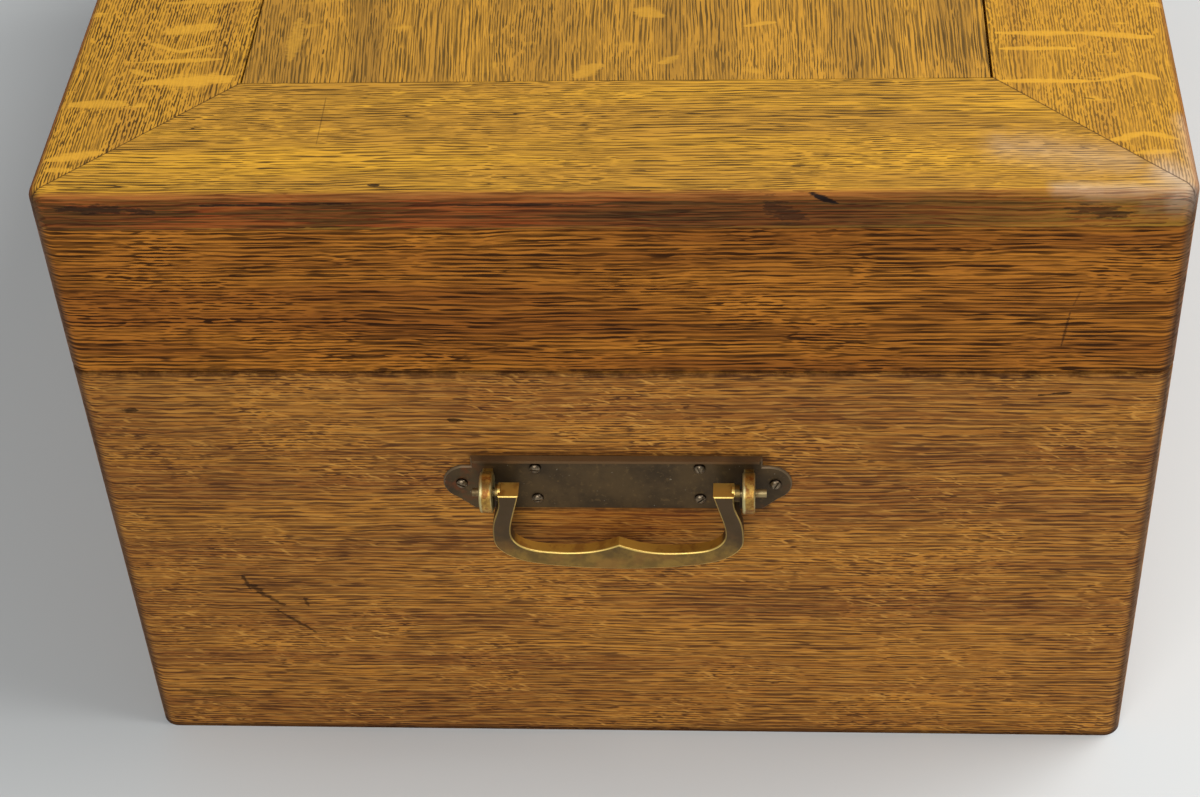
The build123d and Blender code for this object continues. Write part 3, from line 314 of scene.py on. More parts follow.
def mark_group():
    """A ragged stroke from Start to End: 1 on it and 0 away from it."""
    inputs = [("Vector", "vector", None), ("Start", "vector", None), ("End", "vector", None),
              ("Width", "float", 0.0006), ("Ragged", "float", 0.5), ("Grit", "vector", (600.0, 180.0, 900.0)),
              ("Inner", "float", 0.35), ("Taper", "float", 0.6)]

    def build(t, s):
        along = t.vec("SUBTRACT", s["End"], s["Start"])
        offset = t.vec("SUBTRACT", s["Vector"], s["Start"])
        share = t.math("DIVIDE", t.vec("DOT_PRODUCT", offset, along), t.vec("DOT_PRODUCT", along, along),
                       clamp=True)
        rest = t.vec("LENGTH", t.vec("SUBTRACT", offset, t.scale(along, share)))
        rough = t.math("SUBTRACT", t.noise(t.vec("MULTIPLY", s["Vector"], s["Grit"]), 1, 3, 0.65), 0.5)
        swing = t.math("MULTIPLY", t.math("MULTIPLY", s["Width"], 4.0), s["Ragged"])
        rest = t.math("MULTIPLY_ADD", rough, swing, rest)
        bow = t.math("MULTIPLY", t.math("MULTIPLY", share, t.math("SUBTRACT", 1.0, share)), 4.0)
        narrow = t.math("MULTIPLY", s["Taper"], t.math("SUBTRACT", 1.0, bow))
        width = t.math("MULTIPLY", s["Width"], t.math("SUBTRACT", 1.0, narrow))
        return {"Mask": t.ramp(rest, t.math("MULTIPLY", width, s["Inner"]), width, 1.0, 0.0)}

    return make_group("Mark", inputs, [("Mask", "float")], build)


def material(name):
    """A new node material and its tree."""
    made = bpy.data.materials.new(name)
    made.use_nodes = True
    return made, Tree(made.node_tree)


def paint(made, *nodes):
    """Put a material in every slot of these CAD nodes."""
    for name in nodes:
        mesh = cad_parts[name].data
        if not mesh.materials:
            mesh.materials.append(made)
        for index in range(len(mesh.materials)):
            mesh.materials[index] = made


def strokes(t, position, rows, grit=(600.0, 180.0, 900.0), inner=0.35, taper=0.6):
    """The strongest of several strokes. Each row is start, end, width, raggedness, strength."""
    total = None
    for start, end, width, ragged, strength in rows:
        mask = t.group(mark_group(), vector=position, start=start, end=end, width=width, ragged=ragged,
                       grit=grit, inner=inner, taper=taper)[0]
        mask = t.math("MULTIPLY", mask, strength)
        total = mask if total is None else t.math("MAXIMUM", total, mask)
    return total


# Dark marks on the case's end, the lid's end and the lid's worn edge: start, end, width, raggedness, strength
END_X = HALF_LENGTH
END_MARKS = [
    ((END_X, -0.1444, 0.0886), (END_X, -0.1422, 0.0800), 0.0013, 0.8, 0.75),
    ((END_X, -0.1438, 0.0842), (END_X, -0.1380, 0.0798), 0.0021, 0.9, 0.75),
    ((END_X, -0.1408, 0.0808), (END_X, -0.1296, 0.0712), 0.0011, 0.9, 0.7),
    ((END_X, -0.1345, 0.0704), (END_X, -0.1206, 0.0572), 0.0011, 0.9, 0.7),
    ((END_X, -0.1225, 0.0766), (END_X, -0.1216, 0.0724), 0.0010, 0.9, 0.6),
    ((END_X, -0.1745, 0.1745), (END_X, -0.1695, 0.1745), 0.0016, 0.7, 0.8),
    ((END_X, -0.0590, 0.1700), (END_X, -0.0545, 0.1698), 0.0012, 0.7, 0.75),
    ((END_X, 0.1455, 0.1822), (END_X, 0.1560, 0.1834), 0.0008, 0.8, 0.85),
    ((END_X, 0.1270, 0.1105), (END_X, 0.1310, 0.1095), 0.0010, 0.7, 0.6),
    ((END_X, -0.1780, 0.0218), (END_X, -0.1560, 0.0195), 0.0024, 0.9, 0.5),
]
LID_MARKS = [
    ((END_X, 0.1529, 0.2196), (END_X, 0.1511, 0.2046), 0.0007, 0.6, 0.6),
    ((END_X, 0.1556, 0.2290), (END_X, 0.1536, 0.2225), 0.0005, 0.7, 0.35),
]
EDGE_MARKS = [
    ((END_X, -0.1810, 0.2655), (END_X, -0.1480, 0.2640), 0.0022, 0.9, 0.7),
    ((END_X, 0.0535, 0.2648), (END_X, 0.0640, 0.2606), 0.0040, 0.9, 0.6),
    ((END_X, 0.1480, 0.2638), (END_X, 0.1680, 0.2614), 0.0030, 0.9, 0.65),
    ((0.2786, 0.0655, 0.2702), (END_X, 0.0752, 0.2660), 0.0014, 0.7, 1.0),
    ((END_X, -0.1322, 0.2664), (END_X, -0.0820, 0.2670), 0.0007, 0.9, 0.8),
    ((END_X, -0.0510, 0.2662), (END_X, -0.0100, 0.2662), 0.0006, 0.9, 0.7),
    ((0.2786, -0.1100, 0.2700), (0.2788, -0.0700, 0.2698), 0.0004, 0.9, 0.7),
    ((0.2787, -0.0300, 0.2699), (0.2788, 0.0250, 0.2698), 0.0004, 0.9, 0.65),
    ((0.2787, 0.0480, 0.2699), (0.2788, 0.0660, 0.2695), 0.0007, 0.9, 0.5),
]
# Pale ray bands, first the frame's and then the panel's: start x, y, end x, y, half width, strength
RAY_BANDS = [
    (0.1861, -0.1600, 0.1833, -0.1432, 0.0048, 0.8), (0.1934, -0.1636, 0.1984, -0.1527, 0.0016, 0.8),
    (0.1984, -0.1527, 0.1944, -0.1410, 0.0016, 0.8), (0.2043, -0.1633, 0.2029, -0.1378, 0.0020, 0.8),
    (0.2170, -0.1610, 0.2145, -0.1325, 0.0050, 0.95), (0.2292, -0.1850, 0.2289, -0.1656, 0.0034, 0.8),
    (0.2599, -0.1855, 0.2557, -0.1688, 0.0034, 0.9), (0.2653, -0.1860, 0.2654, -0.1769, 0.0024, 0.8),
    (0.1679, -0.1619, 0.1666, -0.1311, 0.0020, 0.7), (0.2090, -0.1684, 0.2132, -0.1588, 0.0018, 0.7),
    (0.1915, 0.1317, 0.1919, 0.1596, 0.0022, 0.9), (0.1919, 0.1596, 0.1947, 0.1840, 0.0022, 0.9),
    (0.2004, 0.1318, 0.2008, 0.1571, 0.0017, 0.9), (0.2195, 0.1282, 0.2199, 0.1631, 0.0017, 0.95),
    (0.2199, 0.1631, 0.2156, 0.1757, 0.0020, 0.9), (0.2156, 0.1757, 0.2191, 0.1836, 0.0020, 0.9),
    (0.2525, 0.1648, 0.2483, 0.1752, 0.0022, 0.9), (0.2483, 0.1752, 0.2522, 0.1857, 0.0022, 0.9),
    (0.2595, 0.1711, 0.2581, 0.1850, 0.0018, 0.8), (0.1753, 0.0059, 0.1786, 0.0149, 0.0050, 0.8),
    (0.2153, -0.0129, 0.2084, -0.0047, 0.0042, 0.8), (0.1858, 0.0448, 0.1835, 0.0552, 0.0016, 0.9),
    (0.2075, 0.0159, 0.2034, 0.0219, 0.0028, 0.8), (0.2038, -0.1129, 0.1795, -0.1129, 0.0036, 0.7),
]
FRAME_BANDS = 19
FLECKS = [((x0, y0, TOP_Z), (x1, y1, TOP_Z), half, 0.35, strength)
          for x0, y0, x1, y1, half, strength in RAY_BANDS]
# Dark scratches on the top, then the painted sheen at its corner: pale places that stand in for light
# reflected off the worn finish
SCRATCHES = [
    ((0.2257, -0.0973, TOP_Z), (0.2526, -0.0970, TOP_Z), 0.00032, 0.5, 0.4),
    ((0.2288, 0.1562, TOP_Z), (0.2301, 0.1611, TOP_Z), 0.0007, 0.8, 0.6),
    ((0.2740, -0.0770, TOP_Z), (0.2745, -0.0740, TOP_Z), 0.0012, 0.7, 0.9),
]
PAINTED_CORNER_SHEEN = [
    ((0.2700, 0.1810, TOP_Z), (0.2760, 0.1845, 0.2700), 0.0180, 0.10, 0.75),
    ((0.2768, 0.1450, 0.2700), (0.2776, 0.1830, 0.2696), 0.0060, 0.15, 0.45),
    ((0.2400, 0.1880, 0.2700), (0.2740, 0.1880, 0.2695), 0.0060, 0.15, 0.35),
    ((0.2560, 0.1300, TOP_Z), (0.2640, 0.1700, TOP_Z), 0.0160, 0.15, 0.3),
]


def facing(t):
    """How far a face looks up, and how far along the chest's length, in the piece's own frame."""
    x, _, z = t.split(t.add("ShaderNodeTexCoord").outputs["Normal"])
    return z, t.math("ABSOLUTE", x)


def near(t, value, place, inner, outer):
    """1 where the value is within inner of the place, 0 beyond outer."""
    return t.ramp(t.math("ABSOLUTE", t.math("SUBTRACT", value, place)), inner, outer, 1.0, 0.0)


def joint_lines(t, parts, ragged):
    """Dark at the lid's seam, the glue line, the frame's mitres and the foot."""
    x, y, z = parts
    ax, ay = t.math("ABSOLUTE", x), t.math("ABSOLUTE", y)
    crack = t.math("MULTIPLY", near(t, z, RIM_Z, 0.0003, 0.0010), t.ramp(ragged, 0.0, 1.0, 0.3, 0.6))
    stain = t.math("MULTIPLY", near(t, z, RIM_Z, 0.0006, 0.0034), t.math("MULTIPLY", ragged, 0.7))
    seam = t.math("MAXIMUM", crack, stain)
    outer = t.math("MAXIMUM", t.ramp(ax, HALF_LENGTH - 0.0040, HALF_LENGTH - 0.0015),
                   t.ramp(ay, HALF_WIDTH - 0.0040, HALF_WIDTH - 0.0015))
    seam = t.math("MULTIPLY", seam, outer)
    glue = t.math("MULTIPLY", near(t, z, GLUE_Z, 0.0001, 0.0006), 0.35)
    gap = t.math("SUBTRACT", t.math("SUBTRACT", HALF_LENGTH, ax), t.math("SUBTRACT", HALF_WIDTH, ay))
    on_top = t.ramp(z, GLUE_Z + 0.009, GLUE_Z + 0.0125)
    mitre = t.math("MULTIPLY", near(t, gap, 0.0, 0.00015, 0.0006), t.math("MULTIPLY", on_top, 0.65))
    foot = t.math("MULTIPLY", t.ramp(z, 0.0006, 0.0034, 1.0, 0.0), 0.8)
    return t.math("MAXIMUM", t.math("MAXIMUM", seam, glue), t.math("MAXIMUM", mitre, foot))


def rim_color(t, position, parts, axis):
    """The frame's worn outer edge: red-brown, paler on the rounding where wear and a painted highlight
    lighten it, with a wavy dark line and patches.
    """
    z = parts[2]

    def stretched(along, across):
        return t.vec("MULTIPLY", position, [along if letter == axis[0] else across for letter in "xyz"])

    pull = stretched(30.0, 900.0)
    drift = t.noise(stretched(20.0, 0.0), 1, 3, 0.6)
    streak = t.noise(pull, 1, 3, 0.6)
    warm = t.noise(stretched(9.0, 90.0), 1, 2, 0.5)
    color = t.mix(t.ramp(warm, 0.4, 0.62), "94451a", "6a3614")
    color = t.mix(t.math("MULTIPLY", t.ramp(streak, 0.49, 0.57), 0.8), color, "301304")
    pores = t.group(dash_group(), along=parts["xyz".index(axis[0])], ring=z, seed=2.2, pitch=0.0011,
                    length=0.020, amount=0.5, blur=0.08)[0]
    color = t.mix(t.math("MULTIPLY", pores, 0.7), color, "261006")
    color = t.mix(t.math("MULTIPLY", t.ramp(streak, 0.34, 0.44, 1.0, 0.0), 0.35), color, "a45a20")
    height = t.math("MULTIPLY_ADD", t.math("SUBTRACT", drift, 0.5), 0.006, z)
    # Paler near the top of the rounding: worn, and painted as a highlight where it catches the light
    pale = t.math("MULTIPLY", t.ramp(height, TOP_Z - 0.0035, TOP_Z - 0.0013), 0.8)
    color = t.mix(pale, color, t.mix(t.ramp(streak, 0.4, 0.6), "9c5e28", "6c3814"))
    line = near(t, height, TOP_Z - 0.0041, 0.0001, 0.0008)
    line = t.math("MULTIPLY", line, t.ramp(streak, 0.42, 0.60, 0.95, 0.25))
    black = t.ramp(t.noise(t.vec("ADD", t.scale(pull, 0.5), (3.0, 3.0, 3.0)), 1, 2, 0.6), 0.57, 0.70)
    black = t.math("MULTIPLY", black, t.ramp(height, TOP_Z - 0.0037, TOP_Z - 0.0047, 0.0, 0.75))
    return t.mix(t.math("MAXIMUM", line, black), color, "221208")


def handle_shade_and_grime(t, color, parts):
    """The wood round a handle: dark at the plate with dirt and painted shadow, orange where the bail keeps it
    clean, and painted shade darker to the front.
    """
    ay, z = t.math("ABSOLUTE", parts[1]), parts[2]
    over_y = t.math("MAXIMUM", t.math("SUBTRACT", ay, 0.052), 0.0)
    over_z = t.math("ABSOLUTE", t.math("SUBTRACT", z, PIN_Z - 0.0034))
    over_z = t.math("MAXIMUM", t.math("SUBTRACT", over_z, 0.0125), 0.0)
    gap = t.vec("LENGTH", t.join(over_y, over_z, 0.0))
    rough = t.noise(t.join(0.0, parts[1], z), 300, 3, 0.6)
    gap = t.math("MULTIPLY_ADD", t.math("SUBTRACT", rough, 0.5), 0.004, gap)
    # Dirt and painted shadow darken the wood next to the plate
    shadow_and_dirt = t.ramp(gap, 0.0002, 0.0036, 0.62, 0.0)
    place = t.vec("LENGTH", t.join(t.math("MULTIPLY", ay, 0.55), t.math("SUBTRACT", z, PIN_Z - 0.022), 0.0))
    clean = t.ramp(place, 0.006, 0.024, 0.5, 0.0)
    color = t.mix(clean, color, t.mix(0.55, color, "8c4210"))
    # Painted shade: the end grows darker towards the front and the top
    painted_shade = t.math("MULTIPLY", t.ramp(parts[1], -0.19, -0.02, 0.34, 0.0), t.ramp(z, 0.02, 0.12, 0.3, 1.0))
    color = t.mix(painted_shade, color, t.mix(0.5, color, "4a2c16"))
    return t.mix(shadow_and_dirt, color, "38200f")


def oak(name, props, axis, seed, ground, deep, pore, ray, pitch, length, amount, rays, ray_size, short=0.5,
        blur=0.07, slope=0.0, pale=0.0, marks=(), flecks=(), roughness=0.4, lines=True, edge=0.0, lean=0.45,
        sheen=(), contrast=0.86, mirror=False, gloss=0.2, calm=0.0, slant=0.0, shade_and_grime=False):
    """An oak finish. axis gives the order of the position's parts: grain, across, depth.

    pitch and length are the pores', ray_size is along and across the grain, edge is the strength of the top's
    worn edge with its painted highlight and of the painted shade on the vertical corners, calm weakens the
    pores towards the back as a painted sheen, and slant turns the grain towards the front.
    """
    made, t = material(name)
    position = t.position()
    parts = t.split(position)
    x, y, z = parts
    grain = [parts["xyz".index(letter)] for letter in axis]
    if mirror:
        grain[1] = t.math("ABSOLUTE", grain[1])
    elif edge:
        # Opposite boards differ, and the depth counts from the outer face, which keeps lines level on corners
        seed = t.math("MULTIPLY_ADD", t.math("SIGN", grain[2]), 0.5, seed)
        outside = HALF_LENGTH if axis[2] == "x" else HALF_WIDTH
        grain[2] = t.math("SUBTRACT", t.math("ABSOLUTE", grain[2]), outside)
        lean = t.ramp(t.math("ABSOLUTE", facing(t)[0]), 0.5, 0.8, 0.0, lean)
    if slant:
        turn = t.ramp(y, -0.12, 0.12, slant, 0.1 * slant)
        grain[1] = t.math("SUBTRACT", grain[1], t.math("MULTIPLY", grain[0], turn))
    # Painted sheen: the pores fade towards the back, where light reflected off the finish washes them out
    if calm:
        contrast = t.ramp(y, 0.08, 0.15, contrast, contrast - calm)
    vector = t.join(*grain)
    turned = t.join(t.math("ABSOLUTE", x), t.math("MULTIPLY", y, t.math("SIGN", x)), z)
    fleck = strokes(t, turned, flecks, (420.0, 110.0, 420.0)) if flecks else 0.0
    figure = t.group(oak_group(), vector=vector, seed=seed, ground=ground, deep=deep, pore=pore, ray=ray,
                     pitch=pitch, pore_length=length, pore_amount=amount, short=short, blur=blur,
                     ray_amount=rays, ray_along=ray_size[0], ray_across=ray_size[1], ray_slope=slope,
                     fleck=fleck, lean=lean, contrast=contrast, pale=pale)
    color, pores, ray_mask, height = figure["Color"], figure["Pores"], figure["Rays"], figure["Height"]
    ragged = t.ramp(t.noise(position, 160, 3, 0.6), 0.35, 0.65)
    rim = 0.0
    if edge:
        ax, ay = t.math("ABSOLUTE", x), t.math("ABSOLUTE", y)
        corner = t.math("MULTIPLY", t.ramp(ax, HALF_LENGTH - 0.0055, HALF_LENGTH - 0.0020),
                        t.ramp(ay, HALF_WIDTH - 0.0055, HALF_WIDTH - 0.0020))
        side = t.math("MAXIMUM", t.ramp(ax, HALF_LENGTH - 0.0032, HALF_LENGTH - 0.0010),
                      t.ramp(ay, HALF_WIDTH - 0.0032, HALF_WIDTH - 0.0010))
        rim = t.math("MULTIPLY", side, t.ramp(z, GLUE_Z - 0.0010, GLUE_Z + 0.0014))
        fresh = t.ramp(t.math("MULTIPLY_ADD", t.noise(position, 30, 2), 0.06, y), 0.09, 0.20, 1.0, 0.7)
        color = t.mix(t.math("MULTIPLY", t.math("MULTIPLY", rim, edge), fresh), color,
                      rim_color(t, position, parts, axis))
        # Painted shade: the vertical corners are darkened where they turn away from the light
        down = t.noise(t.vec("MULTIPLY", position, (400.0, 400.0, 30.0)), 1, 3, 0.6)
        painted_corner_shade = t.mix(t.ramp(down, 0.35, 0.65), "3d2412", "5e4128")
        color = t.mix(t.math("MULTIPLY", corner, edge), color, painted_corner_shade)
    if shade_and_grime:
        color = handle_shade_and_grime(t, color, parts)
    if sheen:
        # Painted sheen: pale patches that stand in for light reflected off the finish
        painted_sheen = strokes(t, position, sheen, (120.0, 120.0, 120.0), -0.6, 0.2)
        painted_sheen = t.math("MULTIPLY", painted_sheen, t.ramp(pores, 0.2, 0.8, 1.0, 0.6))
        color = t.mix(painted_sheen, color, "c9bcb0")
    if lines:
        color = t.mix(joint_lines(t, parts, ragged), color, "2a1308")
    if marks:
        dark = strokes(t, position, marks)
        color = t.mix(dark, color, "1c0d06")
        height = t.math("SUBTRACT", height, t.math("MULTIPLY", dark, 2.0))
    rough = t.math("MULTIPLY_ADD", pores, 0.25, roughness)
    rough = t.math("MULTIPLY_ADD", t.noise(position, 35, 3), 0.12, t.math("SUBTRACT", rough, 0.06))
    rough = t.math("MULTIPLY_ADD", ray_mask, -0.05, rough)
    rough = t.math("MULTIPLY_ADD", rim, 0.22, rough)
    t.surface(color, rough, t.bump(height, props.pore_depth, 0.0003), Specular_IOR_Level=gloss)
    return made


def metal(name, base, dark, stain, seed=0.0, wear=0.5, roughness=0.38):
    """Aged metal: a bright base under soft dark patina and reddish stains."""
    made, t = material(name)
    position = t.vec("ADD", t.position(), (seed, seed, seed))
    cloud = t.noise(position, 90, 4, 0.6)
    spots = t.noise(position, 420, 3, 0.65)
    fine = t.noise(position, 2600, 2, 0.6)
    patina = t.math("MULTIPLY_ADD", t.math("SUBTRACT", spots, 0.5), 0.25, cloud)
    patina = t.ramp(patina, wear - 0.22, wear + 0.22)
    color = t.mix(patina, base, dark)
    color = t.mix(t.math("MULTIPLY", t.ramp(spots, 0.54, 0.70), 0.5), color, stain)
    rough = t.math("MULTIPLY_ADD", patina, 0.14, roughness)
    rough = t.math("MULTIPLY_ADD", fine, 0.08, rough)
    t.surface(color, rough, t.bump(fine, 0.2, 0.0002), metallic=0.9)
    return made


def bail_brass():
    """Dark arms that turn to olive brass on the bar where hands rub, with faces that look up and the edges
    painted bright as highlights over the wear.
    """
    made, t = material("Bail brass")
    position = t.position()
    up, out = facing(t)
    x, y, z = t.split(position)
    cloud = t.noise(position, 160, 4, 0.6)
    fine = t.noise(position, 2400, 2, 0.6)
    low = t.math("MULTIPLY_ADD", t.math("SUBTRACT", cloud, 0.5), 0.012, z)
    low = t.ramp(low, PIN_Z - 0.0349, PIN_Z - 0.0189, 1.0, 0.0)
    front = t.mix(low, "54412a", "9c7a38")
    front = t.mix(t.math("MULTIPLY", t.ramp(cloud, 0.35, 0.65), 0.45), front, "4c3a20")
    rub = t.ramp(t.noise(position, 60, 3, 0.6), 0.5, 0.65)
    rub = t.math("MULTIPLY", rub, t.ramp(z, PIN_Z - 0.0109, PIN_Z - 0.0309))
    front = t.mix(t.math("MULTIPLY", rub, 0.4), front, "9a6a34")
    boss = t.ramp(z, PIN_Z - 0.0039, PIN_Z - 0.0019)
    top = t.mix(boss, "bc8a34", "c49a48")
    top = t.mix(t.math("MULTIPLY", t.ramp(cloud, 0.48, 0.66), 0.6), top, "8a5422")
    # Painted light: faces that look up get the brighter top colour, the others the darker front colour
    color = t.mix(t.ramp(up, 0.35, 0.7), front, top)
    # Painted highlight on the rounded edges, over the rubbed brass
    edge = t.math("MULTIPLY", t.ramp(out, 0.25, 0.5), t.ramp(out, 0.9, 0.99, 1.0, 0.0))
    edge = t.math("MULTIPLY", edge, t.ramp(t.math("ABSOLUTE", up), 0.1, 0.3, 0.35, 1.0))
    color = t.mix(t.math("MULTIPLY", edge, 0.9), color, "f0cc70")
    shine = t.math("MAXIMUM", edge, t.math("MULTIPLY", boss, t.ramp(up, 0.5, 0.8)))
    rough = t.math("MULTIPLY_ADD", shine, -0.2, 0.5)
    # Painted shade on the collars, in the narrow gap between boss and ear
    middle = t.math("ABSOLUTE", t.math("MULTIPLY_ADD", y, t.math("SIGN", x), BAIL_SHIFT))
    shaded_collar = t.ramp(middle, BOSS_OUTSIDE, BOSS_OUTSIDE + 0.0003)
    shaded_collar = t.math("MULTIPLY", shaded_collar, t.ramp(z, PIN_Z - 0.0054, PIN_Z - 0.0044))
    color = t.mix(t.math("MULTIPLY", shaded_collar, 0.8), color, "42301a")
    t.surface(color, t.math("MULTIPLY_ADD", fine, 0.1, rough), t.bump(fine, 0.15, 0.0002), metallic=0.75)
    return made


def plate_brass():
    """Brown-grey plate, browner and brighter on its bevels and its lip."""
    made, t = material("Plate brass")
    position = t.position()
    out = facing(t)[1]
    _, y, z = t.split(position)
    cloud = t.noise(position, 70, 4, 0.6)
    spots = t.noise(position, 500, 3, 0.65)
    fine = t.noise(position, 2400, 2, 0.6)
    face = t.mix(t.ramp(cloud, 0.35, 0.68), "564329", "3f311f")
    face = t.mix(t.math("MULTIPLY", t.ramp(spots, 0.56, 0.70), 0.4), face, "725a36")
    rust = t.math("MULTIPLY", t.ramp(t.noise(position, 130, 3, 0.6), 0.55, 0.7),
                  t.ramp(t.math("ABSOLUTE", y), 0.045, 0.055))
    face = t.mix(t.math("MULTIPLY", rust, 0.7), face, "6e3c1c")
    specks = t.ramp(t.noise(position, 800, 1, 0.5), 0.765, 0.79)
    face = t.mix(t.math("MULTIPLY", specks, 0.6), face, "a59a86")
    lip = t.ramp(z, PIN_Z + 0.0078, PIN_Z + 0.0084)
    bevel = t.ramp(out, 0.95, 0.8)
    color = t.mix(t.math("MULTIPLY", bevel, 0.7), face, "7a664c")
    color = t.mix(t.math("MULTIPLY", lip, 0.8), color, t.mix(cloud, "5c4026", "80603c"))
    shade = near(t, t.math("ABSOLUTE", y), 0.0449, 0.0030, 0.0075)
    color = t.mix(t.math("MULTIPLY", shade, 0.4), color, "2c2118")
    t.surface(color, t.math("MULTIPLY_ADD", fine, 0.1, 0.46), t.bump(fine, 0.15, 0.0002), metallic=0.5,
              Specular_IOR_Level=0.25)
    return made


def ear_brass():
    """Brown-gold faces with reddish stains, and a pale greenish painted highlight along their rims."""
    made, t = material("Ear brass")
    position = t.position()
    y = t.split(position)[1]
    cloud = t.noise(position, 150, 4, 0.65)
    spots = t.noise(position, 520, 3, 0.65)
    fine = t.noise(position, 2600, 2, 0.6)
    color = t.mix(t.ramp(cloud, 0.38, 0.62), "c89c4a", "84602c")
    color = t.mix(t.math("MULTIPLY", t.ramp(spots, 0.50, 0.62), 0.65), color, "7a3c16")
    # Painted highlight: the ear is painted pale along its rims
    middle = t.math("ABSOLUTE", t.math("SUBTRACT", t.math("ABSOLUTE", y), EAR_MIDDLE))
    rim = t.math("MULTIPLY_ADD", t.math("SUBTRACT", cloud, 0.5), 0.002, middle)
    color = t.mix(t.ramp(rim, 0.0013, 0.0020, 0.0, 0.75), color, "cfc48c")
    t.surface(color, t.math("MULTIPLY_ADD", cloud, 0.2, 0.3), t.bump(fine, 0.2, 0.0002), metallic=0.85)
    return made


def screw_brass():
    """Grey-brass domes, darkened low down by painted shade in the slots and at their foot."""
    made, t = material("Handle screw brass")
    position = t.position()
    x = t.split(position)[0]
    spots = t.noise(position, 900, 3, 0.6)
    # Painted shade: darker low on the screw, in the slots and round the foot of each dome
    deep = t.ramp(t.math("ABSOLUTE", x), HALF_LENGTH + 0.0017, HALF_LENGTH + 0.0022, 1.0, 0.0)
    color = t.mix(t.ramp(spots, 0.4, 0.7), "80705a", "54432f")
    color = t.mix(deep, color, "2c2018")
    t.surface(color, 0.32, metallic=0.85)
    return made


def grid_faces(rows, columns):
    """Four-sided faces of a grid of points that are numbered row by row."""
    first = (np.arange(rows - 1)[:, None] * columns + np.arange(columns - 1)).ravel()
    return np.stack([first, first + 1, first + columns + 1, first + columns], axis=1)


def new_piece(name, points, faces, made, body, node, thick=0.0):
    """A smooth piece that stands for a CAD node and rides on a body. Its wall grows both ways."""
    mesh = bpy.data.meshes.new(name)
    mesh.from_pydata(points.tolist(), [], faces.tolist())
    mesh.materials.append(made)
    mesh.shade_smooth()
    piece = bpy.data.objects.new(name, mesh)
    bpy.context.scene.collection.objects.link(piece)
    if thick:
        wall = piece.modifiers.new("Wall", "SOLIDIFY")
        wall.thickness, wall.offset = thick, 0.0
    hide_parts(node)
    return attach(piece, body)


def steps(low, high, size, narrow=0.0006):
    """Places from low to high about size apart, with a narrow step at each end."""
    inner = np.linspace(low + narrow, high - narrow, max(2, round((high - low) / size)))
    return np.concatenate([[low], inner, [high]])


def laid_cloth(name, made, body, node):
    """A glued cloth on a board: height = middle + 0.00006 sin(61x + 17y) sin(73y), level at its border."""
    (_, _, low), (half_x, half_y, high) = corners(node)
    thick = round(high - low, 5)
    x, y = np.meshgrid(steps(-half_x, half_x, 0.006), steps(-half_y, half_y, 0.006))
    damp = np.clip((half_x - abs(x)) / 0.02, 0, 1) * np.clip((half_y - abs(y)) / 0.02, 0, 1)
    z = low + thick / 2 + 0.00006 * np.sin(61 * x + 17 * y) * np.sin(73 * y) * damp
    points = np.stack([x, y, z], axis=-1).reshape(-1, 3)
    piece = new_piece(name, points, grid_faces(*x.shape), made, body, node, thick - CLOTH_THINNER)


def wall_cloth(name, window, made, body, node):
    """A strip glued round the four walls, its corners rounded to 2 mm, with a window in the front wall.

    Window is (half width, foot) or None. Between the corners the long walls' cloth stands off the wood by
    0.00015 (1 + sin(37x) sin(29z + 2x)) (1 - (x / 0.235)^2), where that is above 0.
    """
    low, high = (corner[2] for corner in corners(node))
    radius = 0.002
    side_x, side_y = INSIDE_LENGTH - CLOTH / 2, INSIDE_WIDTH - CLOTH / 2
    flat_x, flat_y = side_x - radius, side_y - radius
    half = window[0] if window else flat_x / 3
    front = np.concatenate([steps(-flat_x, -half, 0.007), steps(-half, half, 0.007)[1:],
                            steps(half, flat_x, 0.007)[1:]])
    up = steps(-flat_y, flat_y, 0.007)
    turn = np.linspace(0, math.pi / 2, 5)[1:-1]
    rows = [
        np.stack([front, np.full(front.size, -side_y)], 1),
        np.stack([flat_x + radius * np.sin(turn), -flat_y - radius * np.cos(turn)], 1),
        np.stack([np.full(up.size, side_x), up], 1),
        np.stack([flat_x + radius * np.cos(turn), flat_y + radius * np.sin(turn)], 1),
    ]
    path = np.concatenate(rows + [-row for row in rows])
    foot = window[1] if window else (low + high) / 2
    z = np.concatenate([steps(low, foot, 0.007), steps(foot, high, 0.007)[1:]])
    x, height = np.meshgrid(path[:, 0], z)
    y = np.repeat(path[None, :, 1], z.size, axis=0)
    off = 0.00015 * (1 + np.sin(37 * x) * np.sin(29 * height + 2 * x)) * np.clip(1 - (x / 0.235) ** 2, 0, 1)
    y = y - np.sign(y) * off * (abs(y) > flat_y)
    points = np.stack([x, y, height], axis=-1).reshape(-1, 3)
    count = path.shape[0]
    first = np.arange(z.size - 1)[:, None] * count + np.arange(count)
    after = np.arange(z.size - 1)[:, None] * count + (np.arange(count) + 1) % count
    faces = np.stack([first, after, after + count, first + count], axis=-1).reshape(-1, 4)
    length = 4 * (side_x + side_y)
    area = length * (high - low)
    if window:
        middle = points[faces].mean(axis=1)
        gone = (abs(middle[:, 0]) < half) & (middle[:, 1] < 0) & (middle[:, 2] > foot)
        faces = faces[~gone]
        area -= 2 * half * (high - foot)
    piece = new_piece(name, points, faces, made, body, node, CLOTH - CLOTH_THINNER)


